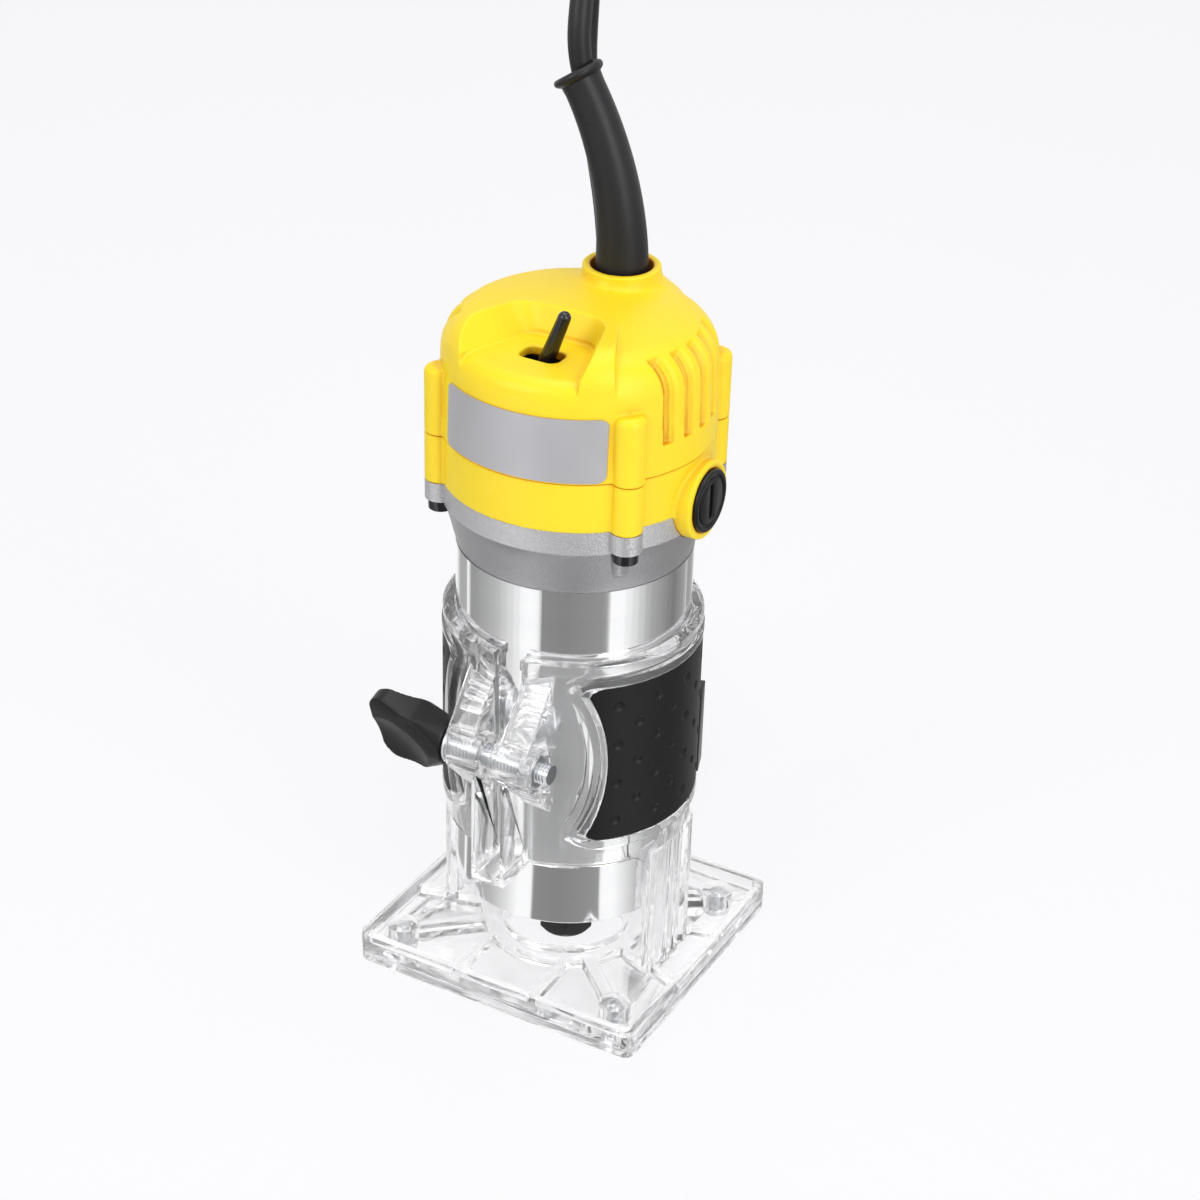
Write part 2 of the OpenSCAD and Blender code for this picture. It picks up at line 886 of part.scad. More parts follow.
// Thicker wall behind the grooves
module vent_lining() {
  half = (vent_count - 1)/2*vent_step + vent_w;
  intersection() {
    difference() {
      rotate_extrude($fn = 120) cap_section(cap_wall - 1);
      rotate_extrude($fn = 120) cap_section(cap_wall + vent_backing);
    }
    translate([-60, -half, vent_z - vent_w]) cube([120, 2*half, cap_h]);
  }
}

module cap_shell() {
  difference() {
    union() {
      rotate_extrude($fn = 180) cap_section();
      brow();
      collar();
    }
    difference() {
      union() {
        rotate_extrude($fn = 120) cap_section(cap_wall);
        brow(cap_wall);
      }
      pocket(cap_wall);
      vent_lining();
      translate([0, collar_y, flange_z]) cylinder(r = flange_r + 2, h = 40);
    }
  }
}

module top_cap() {
  color("#fbe23a") difference() {
    union() {
      cap_shell();
      at_bosses() translate([0, 0, cap_z]) round_post(boss_r, boss_top - cap_z, boss_edge);
      for (x = [-1, 1])
        translate([x*clamp_post_x, collar_y, flange_z]) cylinder(r = clamp_post_r, h = clamp_post_h);
    }
    pocket();
    shelf_front();
    vents();
    at_bosses() translate([0, 0, cap_z - 1]) cylinder(r = house_screw_r + fit_gap,
      h = house_screw_end - cap_z + 2);
    translate([0, switch_y, switch_top - 1]) linear_extrude(20) round_rect(slot_x, slot_y, 2.5);
    translate([0, collar_y, flange_z - 1]) cylinder(r = flange_r + fit_gap, h = flange_h + 1);
    translate([0, collar_y, flange_z]) cylinder(r = collar_bore, h = 30);
    for (x = [-1, 1])
      translate([x*clamp_post_x, collar_y, flange_z - 1])
        cylinder(r = clamp_screw_r + fit_gap, h = 5);
  }
}

// A thin plate bent round the front of the cap, left bare
module label_plate() {
  shift = (cap_r*cos(label_from) + cap_r*cos(label_to))/2;
  wide = cap_r*cos(label_to) - cap_r*cos(label_from);
  color("#b9b9bb") intersection() {
    difference() {
      rotate_extrude($fn = 180) translate([label_t, 0]) cap_section();
      rotate_extrude($fn = 180) cap_section();
    }
    translate([shift, 0, cap_z + 0.6 + label_h/2]) rotate([90, 0, 0])
      linear_extrude(60) round_rect(wide, label_h, 2);
  }
}

module housing_screws() {
  color("#3a3a3c") at_bosses() translate([0, 0, lug_z]) difference() {
    union() {
      cylinder(r = house_screw_r, h = house_screw_end - lug_z);
      translate([0, 0, -house_head_h]) cylinder(r = house_head_r, h = house_head_h);
    }
    translate([0, 0, -house_head_h]) cross_recess(house_cross, house_head_h/2);
  }
}

// Laminated stator with two poles on Y
module stator_core() {
  color("#8d8f92") translate([0, 0, stack_z]) linear_extrude(stack_h) difference() {
    circle(barrel_in - fit_gap);
    circle(stator_in);
    difference() {
      circle(yoke_in);
      circle(shoe_out);
      square([2*pole_half, 4*barrel_in], center = true);
    }
    for (a = [0, 180])
      sector(stator_in - 1, shoe_out + 1, a - shoe_gap, a + shoe_gap);
  }
}

module stator_windings() {
  room = 0.3;
  color("#b5652b") for (turn = [0, 180])
    rotate([0, 0, turn]) difference() {
      translate([0, 0, stack_z - coil_over]) linear_extrude(stack_h + 2*coil_over)
        intersection() {
          difference() {
            circle(yoke_in - room);
            circle(shoe_out + room);
          }
          translate([-barrel_in, 2]) square([2*barrel_in, barrel_in]);
        }
      translate([-pole_half - room, 0, stack_z - room])
        cube([2*(pole_half + room), barrel_in, stack_h + 2*room]);
    }
}

// A shielded ball bearing as one closed ring
module bearing(sizes, z) {
  groove = (sizes[1] - sizes[0])/8;
  mid = (sizes[0] + sizes[1])/4;
  color("#9a9da1") difference() {
    tube(sizes[0]/2, sizes[1]/2, z, z + sizes[2]);
    tube(mid - groove, mid + groove, z - 1, z + 0.4);
    tube(mid - groove, mid + groove, z + sizes[2] - 0.4, z + sizes[2] + 1);
  }
}

module lower_bearing() { bearing(low_bearing, bearing_z); }
module upper_bearing() { bearing(up_bearing, up_bearing_z); }

module on_side(side) {
  rotate([0, 0, side > 0 ? 0 : 180]) translate([0, 0, brush_z]) children();
}

// Brass tube with a square channel for the carbon brush
module brush_holder(side) {
  color("#b08d3c") on_side(side) difference() {
    rod_x(holder_r, holder_from, holder_to);
    translate([holder_from - 1, -brush_w/2 - slide_gap, -brush_h/2 - slide_gap])
      cube([40, brush_w + 2*slide_gap, brush_h + 2*slide_gap]);
  }
}

module carbon_brush(side) {
  color("#3b3b3b") on_side(side)
    translate([brush_tip, -brush_w/2, -brush_h/2]) cube([brush_len, brush_w, brush_h]);
}

module brush_spring(side) {
  color("silver") on_side(side) difference() {
    rod_x(spring_r, brush_tip + brush_len, holder_to);
    rod_x(spring_r - 0.8, brush_tip + brush_len - 1, holder_to + 1);
  }
}

module brush_cap(side) {
  seat = brush_face - brush_cap_t + 1;
  slot_len = 10;
  groove_r = brush_cap_r - 1.4;
  color("#232325") on_side(side) difference() {
    union() {
      rod_x(brush_cap_r, seat, brush_face + 1);
      rod_x(brush_bore_r - fit_gap, holder_to, seat + touch);
    }
    translate([brush_face, -1, -slot_len/2]) cube([5, 2, slot_len]);
    difference() {
      rod_x(groove_r, brush_face + 0.5, brush_face + 2);
      rod_x(groove_r - 0.8, brush_face, brush_face + 3);
    }
  }
}

module brush_holder_left() { brush_holder(-1); }
module brush_holder_right() { brush_holder(1); }
module carbon_brush_left() { carbon_brush(-1); }
module carbon_brush_right() { carbon_brush(1); }
module brush_spring_left() { brush_spring(-1); }
module brush_spring_right() { brush_spring(1); }
module brush_cap_left() { brush_cap(-1); }
module brush_cap_right() { brush_cap(1); }

module switch_body() {
  color("#1d1d1f") translate([0, switch_y, 0]) difference() {
    translate([-switch_w/2, -switch_d/2, switch_top - switch_h]) cube([switch_w, switch_d, switch_h]);
    translate([-slot_x/2, -lever_room/2 - body_gap, pivot_z - lever_ball - body_gap])
      cube([slot_x, lever_room + 2*body_gap, 20]);
    translate([0, 0, pivot_z]) rotate([90, 0, 0])
      cylinder(r = pivot_r + run_gap, h = switch_d - 1, center = true);
  }
}

// Toggle lever on a cross pin, leaning to the on side
module switch_lever() {
  pin_len = switch_d - 1.6;
  color("#232325") translate([0, switch_y, pivot_z]) {
    sphere(lever_ball);
    rotate([90, 0, 0]) cylinder(r = pivot_r, h = pin_len, center = true);
    rotate([0, lever_lean, 0]) {
      cylinder(r1 = lever_r, r2 = lever_tip_r, h = lever_len - lever_tip_r);
      translate([0, 0, lever_len - lever_tip_r]) sphere(lever_tip_r);
    }
  }
}

// Joins rings of points into one closed skin of triangles
module skin(rings) {
  n = len(rings[0]);
  last = len(rings) - 1;
  sides = [for (i = [0:last - 1]) for (k = [0:n - 1]) for (half = [0, 1])
    let (a = i*n + k, b = i*n + (k + 1) % n)
    half == 0 ? [a, a + n, b] : [b, a + n, b + n]];
  foot = [for (k = [1:n - 2]) [0, k, k + 1]];
  head = [for (k = [1:n - 2]) [last*n, last*n + k + 1, last*n + k]];
  polyhedron(points = [for (r = rings) for (p = r) p], faces = concat(sides, foot, head));
}

function unit(v) = v/norm(v);

// A ring of points round a place on a path
function ring_at(p, along, r, sides, ref) =
  let (u = unit(cross(ref, along)), v = cross(unit(along), u))
  [for (k = [0:sides - 1]) p + r*cos(360*k/sides)*u + r*sin(360*k/sides)*v];

function along_path(path, i) = path[min(i + 1, len(path) - 1)] - path[max(i - 1, 0)];

module cord_tube(path, sides, ref) {
  skin([for (i = [0:len(path) - 1]) ring_at(path[i], along_path(path, i), cord_d/2, sides, ref)]);
}

// Place and direction on the bend sleeve, which curves towards the left
function relief_at(t) = let (a = t*relief_turn)
  [-relief_bend*(1 - cos(a)), collar_y, collar_top + relief_bend*sin(a)];
function relief_dir(t) = [-sin(t*relief_turn), 0, cos(t*relief_turn)];
function relief_out(t) = t > 0.985 ? relief_lip_r : t > 0.95 ? relief_lip_r - 0.7
  : relief_tip_r + (relief_base_r - relief_tip_r)*pow(1 - t, 1.4);
function relief_in(t) = t > 0.97 ? relief_mouth : t > 0.93 ? (relief_mouth + relief_bore)/2 : relief_bore;
function relief_ring(t, r) = ring_at(relief_at(t), relief_dir(t), r, relief_sides, [0, 1, 0]);

// Bend sleeve: a flange held in the collar and a tapering curved tube with a flared lip
module strain_relief() {
  up = concat([for (i = [0:relief_steps]) 0.93*i/relief_steps], [0.96, 1]);
  down = [1, 0.95, 0.9, 0.75, bore_start];
  color("#232325") {
    translate([0, collar_y, flange_z]) cylinder(r = flange_r, h = flange_h);
    translate([0, collar_y, flange_z]) cylinder(r = relief_base_r + 0.4, h = collar_top - flange_z - 2);
    skin(concat([ring_at([0, collar_y, flange_z + 1], [0, 0, 1], relief_base_r, relief_sides, [0, 1, 0])],
      [for (t = up) relief_ring(t, relief_out(t))], [for (t = down) relief_ring(t, relief_in(t))]));
  }
}

module cord_clamp() {
  color("#232325") translate([0, collar_y, flange_z - clamp_bar_h]) difference() {
    linear_extrude(clamp_bar_h) difference() {
      round_rect(2*clamp_post_x + 6, clamp_bar_w, 3);
      circle(cord_d/2 + 0.5);
    }
    for (x = [-1, 1])
      translate([x*clamp_post_x, 0, -1]) cylinder(r = clamp_screw_r + fit_gap, h = 10);
  }
}

module cord_clamp_screws() {
  color("silver") for (x = [-1, 1])
    translate([x*clamp_post_x, collar_y, flange_z - clamp_bar_h]) difference() {
      union() {
        cylinder(r = clamp_screw_r, h = clamp_bar_h + 3.5);
        translate([0, 0, -1.6]) cylinder(r = 2.4, h = 1.6);
      }
      translate([0, 0, -1.6]) cross_recess(3, 0.9);
    }
}

module spindle() {
  journal = low_bearing[0]/2 - run_gap;
  tip = up_bearing[0]/2 - run_gap;
  color("#d0d2d4") difference() {
    rotate_extrude() polygon([[0, nose_z], [nose_r, nose_z], [nose_r, bearing_z - body_gap],
      [journal, bearing_z - body_gap], [journal, bearing_z + low_bearing[2] + body_gap],
      [shaft_step_r, bearing_z + low_bearing[2] + body_gap], [shaft_step_r, fan_z], [shaft_fan_r, fan_z],
      [shaft_fan_r, fan_z + fan_h], [shaft_r, fan_z + fan_h], [shaft_r, commutator_z + commutator_h],
      [tip, commutator_z + commutator_h],
      [tip, up_bearing_z + up_bearing[2] + 0.5], [0, up_bearing_z + up_bearing[2] + 0.5]]);
    translate([0, 0, nose_z - 1]) cylinder(r = nose_bore, h = collet_len + 2);
  }
}

module armature_core() {
  color("#8d8f92") translate([0, 0, core_z]) linear_extrude(core_h) difference() {
    circle(core_r);
    circle(shaft_r);
    for (i = [0:core_slots - 1])
      rotate(360*i/core_slots) translate([slot_place, 0]) {
        circle(slot_r);
        translate([0, -slot_mouth/2]) square([core_r - slot_place + 1, slot_mouth]);
      }
  }
}

module armature_windings() {
  head = 9;
  color("#b5652b") {
    for (z = [core_z - head, core_z + core_h])
      tube(winding_r, slot_place + slot_r - 0.3, z, z + head);
    for (i = [0:core_slots - 1])
      rotate([0, 0, 360*i/core_slots]) translate([slot_place, 0, core_z - 1])
        cylinder(r = slot_r - 0.2, h = core_h + 2, $fn = 24);
  }
}

module commutator() {
  bars = 24;
  color("#c07a3a") translate([0, 0, commutator_z]) linear_extrude(commutator_h) difference() {
    circle(commutator_r);
    circle(shaft_r);
    for (i = [0:bars - 1])
      rotate(360*i/bars) translate([commutator_r - 0.6, -0.2]) square([2, 0.4]);
  }
}

module fan() {
  color("#2f3133") translate([0, 0, fan_z]) {
    tube(shaft_fan_r, fan_hub_r, 0, fan_h);
    tube(fan_hub_r - 0.1, fan_r, fan_h - 2, fan_h);
    for (i = [0:fan_blades - 1])
      rotate([0, 0, 360*i/fan_blades]) translate([8.8, -0.8, 2]) cube([fan_r - 10.3, 1.6, fan_h - 3]);
  }
}

// Split sleeve that grips the cutter shank
module collet() {
  flange_top = nose_z - body_gap;
  color("#b4b7ba") difference() {
    union() {
      translate([0, 0, flange_top - 2.7]) cylinder(r = collet_flange, h = 2.7);
      translate([0, 0, flange_top - touch]) cylinder(r = collet_r, h = collet_len);
    }
    translate([0, 0, flange_top - 10]) cylinder(r = collet_bore, h = collet_len + 20);
    for (turn = [0, 90])
      rotate([0, 0, turn])
        translate([-10, -collet_cut/2, flange_top - 10]) cube([20, collet_cut, collet_len + 4]);
  }
}

module collet_nut() {
  color("#1d1d1f") difference() {
    intersection() {
      translate([0, 0, nut_bottom]) cylinder(d = nut_across/cos(30), h = nut_top - nut_bottom, $fn = 6);
      translate([0, 0, nut_bottom]) cylinder(r1 = nut_across/2 - 0.4, r2 = nut_across/2 + 10, h = 14);
    }
    translate([0, 0, nut_bottom + nut_lip]) cylinder(r = nose_r + run_gap, h = 40);
    translate([0, 0, nut_bottom - 1]) cylinder(r = nut_hole, h = 40);
  }
}

// Hand-laid points of the free cord: out of the sleeve, over, and down behind the tool
lead_points = [[-9.3, collar_y, 245], [-11.6, collar_y, 250.5], [-13.6, collar_y, 256.5],
  [-14.6, 21.7, 263], [-15.2, 23.2, 270], [-16.6, 27.5, 279.5], [-20.5, 36, 288.5], [-26.5, 47.5, 292],
  [-32.5, 59, 288.5], [-37, 67.5, 279.5], [-39.6, 71.8, 267], [-40.8, 73, 253.5], [-40.8, 72.6, 240],
  [-38.8, 71.4, 227], [-35, 69.6, 214], [-31, 67.5, 200], [-27.8, 65, 185], [-25, 62.5, 168],
  [-22, 59, 140], [-18.5, 56, 112], [-15, 53.5, 84], [-12, 51.7, 62], [-10.2, 50.7, 47],
  [-9.8, 50.1, 34], [-12.7, 50.2, 21.4], [-20.6, 50.6, 11.6]];

function spline_at(a, b, c, d, t) =
  0.5*(2*b + (c - a)*t + (2*a - 5*b + 4*c - d)*t*t + (3*b - a - 3*c + d)*t*t*t);
function spline(p, steps) = let (last = len(p) - 1) concat(
  [for (i = [0:last - 1]) for (k = [0:steps - 1])
    spline_at(p[max(i - 1, 0)], p[i], p[i + 1], p[min(i + 2, last)], k/steps)], [p[last]]);
function path_len(p) =
  let (steps = [for (i = [1:len(p) - 1]) norm(p[i] - p[i - 1])])
  steps*[for (s = steps) 1];

// Radius and height in the coil, which runs in and out and climbs where it turns back
function fold_at(t) = abs(((t - 1.5 + 2*layer_turns) % (2*layer_turns)) - layer_turns);
function smooth(t) = let (x = min(max(t, 0), 1)) x*x*(3 - 2*x);
function coil_radius(t) = coil_r + pitch*(layer_turns/2 - fold_at(t));
function coil_height(t) = floor_z + pitch*(smooth((t - 1.25)*2) + smooth((t - 3)*2) + smooth((t - 4.75)*2));
function turn_dir(a) = [cos(a), sin(a), 0];
function coil_at(t) = [coil_x, coil_y, coil_height(t)] + coil_radius(t)*turn_dir(-90 - 360*t);

lead_end = [coil_x + lead_gap, coil_y - coil_radius(0), floor_z];
lead_tail = [[-30, lead_end[1], floor_z + 2.1], [-38, lead_end[1] + 0.1, floor_z + 0.35], lead_end];
lead_path = spline(concat(lead_points, lead_tail), lead_steps);
coil_path = [for (i = [0:coil_turns*rings_per_turn]) coil_at(i/rings_per_turn)];
end_angle = -90 - 360*coil_turns;
end_r = coil_radius(coil_turns);
top_z = coil_height(coil_turns);
tail_z = top_z + pitch + 0.2;
climb_path = [for (i = [1:5]) [coil_x, coil_y, top_z + (tail_z - top_z)*smooth(i/5)]
  + end_r*turn_dir(end_angle - tail_climb*i/5)];
tail_hub = [coil_x, coil_y, 0] + (end_r - tail_r)*turn_dir(end_angle - tail_climb);
turn_path = [for (i = [1:10]) tail_hub + [0, 0, tail_z + (plug_z - tail_z)*smooth(i/9)]
  + tail_r*turn_dir(end_angle - tail_climb - tail_turn*i/10)];
plug_turn = end_angle - tail_climb - tail_turn - 90;
plug_at = turn_path[9] + cord_d*turn_dir(plug_turn);
bundle_path = concat(coil_path, climb_path, turn_path, [plug_at]);
apart = rings_per_turn/2;
coil_gap = min([for (i = [0:len(bundle_path) - 1]) for (j = [i + apart:len(bundle_path) - 1])
  norm(bundle_path[i] - bundle_path[j])]) - cord_d;
echo(lead_length = path_len(lead_path), bundle_length = path_len(bundle_path),
  whole = path_len(lead_path) + path_len(bundle_path), wanted = cord_len, least_gap = coil_gap);

module cord_lead() {
  color("#232325") cord_tube(lead_path, lead_sides, [0.88, 0.47, 0.05]);
}

module cord_coil() {
  color("#232325") cord_tube(bundle_path, coil_sides, [0, 0, 1]);
}

// Flat strap round the coiled cord
module cord_tie() {
  inner = coil_r - pitch*layer_turns/2 - cord_d/2 - body_gap;
  outer = coil_r + pitch*layer_turns/2 + cord_d/2 + body_gap;
  high = 3*pitch + cord_d + 2*body_gap;
  color("#2c2c2e") translate([coil_x, coil_y, floor_z - cord_d/2 - body_gap]) rotate([0, 0, strap_turn])
    translate([0, -strap_w/2, 0]) difference() {
      translate([inner - strap_t, 0, -strap_t])
        cube([outer - inner + 2*strap_t, strap_w, high + 2*strap_t]);
      translate([inner, -1, 0]) cube([outer - inner, strap_w + 2, high]);
    }
}

module at_plug() {
  translate(plug_at) rotate([0, 0, plug_turn]) children();
}

module plug_body() {
  color("#232325") at_plug() difference() {
    union() {
      translate([6, -plug_w/2, -plug_t/2]) cube([plug_len - 6, plug_w, plug_t]);
      translate([touch, -plug_w/3, -plug_t/2 + 1]) cube([8, plug_w*2/3, plug_t - 2]);
    }
    for (y = [-1, 1])
      translate([plug_len - 5, y*blade_step/2 - blade_t/2, -blade_w/2]) cube([10, blade_t, blade_w]);
  }
}

module plug_blades() {
  color("#c9a85a") at_plug() for (y = [-1, 1])
    translate([plug_len - 5, y*blade_step/2 - blade_t/2, -blade_w/2])
      cube([blade_len + 5, blade_t, blade_w]);
}

base_body();
sub_base();
sub_base_screws();
grip_left();
grip_right();
clamp_nut();
clamp_washer();
clamp_knob();
clamp_stud();
motor_casting();
motor_ring();
top_cap();
label_plate();
housing_screws();
stator_core();
stator_windings();
lower_bearing();
upper_bearing();
brush_holder_left();
brush_holder_right();
brush_cap_left();
brush_cap_right();
brush_spring_left();
brush_spring_right();
carbon_brush_left();
carbon_brush_right();
switch_body();
switch_lever();
strain_relief();
cord_clamp();
cord_clamp_screws();
spindle();
armature_core();
armature_windings();
commutator();
fan();
collet();
collet_nut();
cord_lead();
cord_coil();
cord_tie();
plug_body();
plug_blades();
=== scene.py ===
import math

import bmesh
import bpy
from mathutils import Matrix, Vector


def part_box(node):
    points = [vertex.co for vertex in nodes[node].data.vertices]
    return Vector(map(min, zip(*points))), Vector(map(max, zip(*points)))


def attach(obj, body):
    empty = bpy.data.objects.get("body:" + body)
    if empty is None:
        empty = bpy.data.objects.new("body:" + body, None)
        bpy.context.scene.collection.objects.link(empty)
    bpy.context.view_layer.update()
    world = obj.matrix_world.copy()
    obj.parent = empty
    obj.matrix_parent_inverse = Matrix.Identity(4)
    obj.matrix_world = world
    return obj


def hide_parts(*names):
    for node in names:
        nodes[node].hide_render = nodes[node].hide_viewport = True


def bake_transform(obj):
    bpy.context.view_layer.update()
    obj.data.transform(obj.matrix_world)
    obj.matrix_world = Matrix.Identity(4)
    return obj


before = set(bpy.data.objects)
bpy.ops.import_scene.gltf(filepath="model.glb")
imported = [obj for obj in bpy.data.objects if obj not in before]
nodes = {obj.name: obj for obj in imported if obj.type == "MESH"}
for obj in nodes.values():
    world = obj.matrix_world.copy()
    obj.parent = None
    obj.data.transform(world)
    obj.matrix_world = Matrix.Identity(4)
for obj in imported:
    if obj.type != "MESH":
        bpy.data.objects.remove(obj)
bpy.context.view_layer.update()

# Camera. It looks down on the front and right of the tool, as in the photograph.
# Its place in metres, its axes and its lens were fitted to the base plate, the barrel and the cap.
CAMERA_PLACE = (0.30788, -0.55199, 0.47580)
CAMERA_AXES = ((0.8712, 0.4903, 0.0265), (-0.2642, 0.4226, 0.8670), (0.4138, -0.7623, 0.4977))
SENSOR_WIDTH = 36
LENS = 79.475
scene = bpy.context.scene
camera_data = bpy.data.cameras.new("camera")
camera_data.sensor_width = SENSOR_WIDTH
camera_data.lens = LENS
camera = bpy.data.objects.new("camera", camera_data)
scene.collection.objects.link(camera)
camera.matrix_world = Matrix.Translation(CAMERA_PLACE) @ Matrix(CAMERA_AXES).transposed().to_4x4()
scene.camera = camera

# Mains lead. A round black cord with a rubber sheath, which leaves the bend sleeve at the top of the tool,
# turns over and comes down behind it. The length that doesn't show is wound in a neat coil of four layers,
# which runs in and out and climbs where it turns back, and ends in the plug.
# Sizes are in millimetres from here to the studio, and angles in degrees. MM makes metres of millimetres.
MM = 0.001
CORD_D = 6.2
CORD_LENGTH = 1800
FREE_LENGTH = 497
FLOOR_Z = CORD_D / 2 + 1.4
PITCH = CORD_D + 0.7
COIL_CENTRE = Vector((-46, 86, 0))
COIL_TURNS = 6.75
COIL_STEPS = 48
COIL_R = (CORD_LENGTH - FREE_LENGTH) / (2 * math.pi * COIL_TURNS)
LAYER_TURNS = 1.75
INNERMOST_TURN = 1.5
CLIMB_STARTS = (1.25, 3, 4.75)
CLIMB_TURNS = 0.5
TAIL_CLIMB = 65
TAIL_CLIMB_STEPS = 10
TAIL_TURN = 150
TAIL_TURN_STEPS = 20
TAIL_LEVEL_FROM = 0.9
TAIL_R = 25.5
TAIL_GAP = 0.2
PLUG_T = 13
PLUG_GAP = 0.3
LEAD_STEPS = 4
lead_points = [
    (-9.3, 21.6, 245), (-11.6, 21.6, 250.5), (-13.6, 21.6, 256.5), (-14.6, 21.7, 263), (-15.2, 23.2, 270),
    (-16.6, 27.5, 279.5), (-20.5, 36, 288.5), (-26.5, 47.5, 292), (-32.5, 59, 288.5), (-37, 67.5, 279.5),
    (-39.6, 71.8, 267), (-40.8, 73, 253.5), (-40.8, 72.6, 240), (-38.8, 71.4, 227), (-35, 69.6, 214),
    (-31, 67.5, 200), (-27.8, 65, 185), (-25, 62.5, 168), (-22, 59, 140), (-18.5, 56, 112), (-15, 53.5, 84),
    (-12, 51.7, 62), (-10.2, 50.7, 47), (-9.8, 50.1, 34), (-12.7, 50.2, 21.4), (-20.6, 50.6, 11.6)]


def linear(code):
    """A colour written as sRGB hex, as linear red, green, blue and alpha."""
    parts = [int(code[i:i + 2], 16) / 255 for i in (1, 3, 5)]
    return [c / 12.92 if c < 0.04045 else ((c + 0.055) / 1.055) ** 2.4 for c in parts] + [1.0]


def add(tree, kind, inputs=None, **settings):
    """Adds a shader node, with its settings, and its inputs as plain values or other nodes' outputs."""
    node = tree.nodes.new("ShaderNode" + kind)
    for name, value in settings.items():
        setattr(node, name, value)
    for key, value in (inputs or {}).items():
        if isinstance(value, bpy.types.NodeSocket):
            tree.links.new(value, node.inputs[key])
        else:
            node.inputs[key].default_value = value
    return node


def new_material(name, **values):
    """A material with one Principled shader, and plain values on that shader's own sockets."""
    made = bpy.data.materials.new(name)
    made.use_nodes = True
    shader = made.node_tree.nodes["Principled BSDF"]
    for key, value in values.items():
        shader.inputs[key.replace("_", " ")].default_value = value
    return made, made.node_tree, shader


def grained(name, dark, light, rough, grain, bump, patch=12, stretch=(1, 1, 1), **values):
    """A surface whose colour drifts in patches and whose height and gloss have a fine grain.

    Patch and grain are in millimetres. Most real grain is finer than the render shows, so it is drawn
    0.25 mm or coarser.
    """
    gloss_swing = 0.07
    made, tree, shader = new_material(name, **values)
    place = add(tree, "TexCoord").outputs["Object"]
    place = add(tree, "Mapping", {"Vector": place, "Scale": stretch}).outputs[0]
    drift = add(tree, "TexNoise", {"Vector": place, "Scale": 1 / (patch * MM), "Detail": 3.0}).outputs[0]
    grit = add(tree, "TexNoise", {"Vector": place, "Scale": 1 / (grain * MM), "Detail": 2.0}).outputs[0]
    tint = add(tree, "Mix", {0: drift, 6: linear(dark), 7: linear(light)}, data_type="RGBA")
    span = {"To Min": rough - gloss_swing, "To Max": rough + gloss_swing}
    gloss = add(tree, "MapRange", {"Value": grit, **span})
    height = add(tree, "Bump", {"Height": grit, "Strength": bump, "Distance": grain * MM * 0.5})
    tree.links.new(tint.outputs[2], shader.inputs["Base Color"])
    tree.links.new(gloss.outputs[0], shader.inputs["Roughness"])
    tree.links.new(height.outputs[0], shader.inputs["Normal"])
    return made


def dress(piece, material, body=None, stands_for=()):
    """Gives a piece its material, hides the CAD nodes it stands for, and hangs it on its body if one is
    given.
    """
    piece.data.materials.clear()
    piece.data.materials.append(material)
    if stands_for:
        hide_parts(*stands_for)
    if body:
        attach(piece, body)
    return piece


def spline(points, steps):
    """Points on a smooth curve through the given ones."""
    line = [Vector(p) for p in points]
    last = len(line) - 1
    found = []
    for i in range(last):
        a, b, c, d = line[max(i - 1, 0)], line[i], line[i + 1], line[min(i + 2, last)]
        for t in (k / steps for k in range(steps)):
            bend = (2 * a - 5 * b + 4 * c - d) * t ** 2 + (3 * b - a - 3 * c + d) * t ** 3
            found.append(0.5 * (2 * b + (c - a) * t + bend))
    return found + [line[last]]


def ease(t):
    """A smooth step from 0 to 1."""
    t = min(max(t, 0), 1)
    return t * t * (3 - 2 * t)


def heading(degrees):
    """A level direction."""
    return Vector((math.cos(math.radians(degrees)), math.sin(math.radians(degrees)), 0))


def coil_radius(turn):
    """How far the cord lies from the coil's centre: it runs in, turns back and runs out, layer by layer."""
    fold = abs((turn - INNERMOST_TURN + 2 * LAYER_TURNS) % (2 * LAYER_TURNS) - LAYER_TURNS)
    return COIL_R + PITCH * (LAYER_TURNS / 2 - fold)


def coil_height(turn):
    """How high the cord lies, with a climb to the next layer where it turns back."""
    return FLOOR_Z + PITCH * sum(ease((turn - start) / CLIMB_TURNS) for start in CLIMB_STARTS)


def coil_point(turn):
    """The place of the cord's middle after so many turns of the coil."""
    return COIL_CENTRE + coil_radius(turn) * heading(-90 - 360 * turn) + Vector((0, 0, coil_height(turn)))


coil_start = coil_point(0)
landing = [(-30, coil_start.y, FLOOR_Z + 2.1), (-38, coil_start.y + 0.1, FLOOR_Z + 0.35), coil_start]
lead = spline(lead_points + landing, LEAD_STEPS)
coil = [coil_point(i / COIL_STEPS) for i in range(1, round(COIL_STEPS * COIL_TURNS) + 1)]
end_angle = -90 - 360 * COIL_TURNS
end_r = coil_radius(COIL_TURNS)
top_z = coil_height(COIL_TURNS)
tail_z = top_z + PITCH + TAIL_GAP
plug_z = FLOOR_Z + len(CLIMB_STARTS) * PITCH + CORD_D / 2 + PLUG_GAP + PLUG_T / 2
tail = []
for share in (i / TAIL_CLIMB_STEPS for i in range(1, TAIL_CLIMB_STEPS + 1)):
    rise = Vector((0, 0, top_z + (tail_z - top_z) * ease(share)))
    tail.append(COIL_CENTRE + end_r * heading(end_angle - TAIL_CLIMB * share) + rise)
tail_hub = COIL_CENTRE + (end_r - TAIL_R) * heading(end_angle - TAIL_CLIMB)
for share in (i / TAIL_TURN_STEPS for i in range(1, TAIL_TURN_STEPS + 1)):
    rise = Vector((0, 0, tail_z + (plug_z - tail_z) * ease(share / TAIL_LEVEL_FROM)))
    tail.append(tail_hub + TAIL_R * heading(end_angle - TAIL_CLIMB - TAIL_TURN * share) + rise)
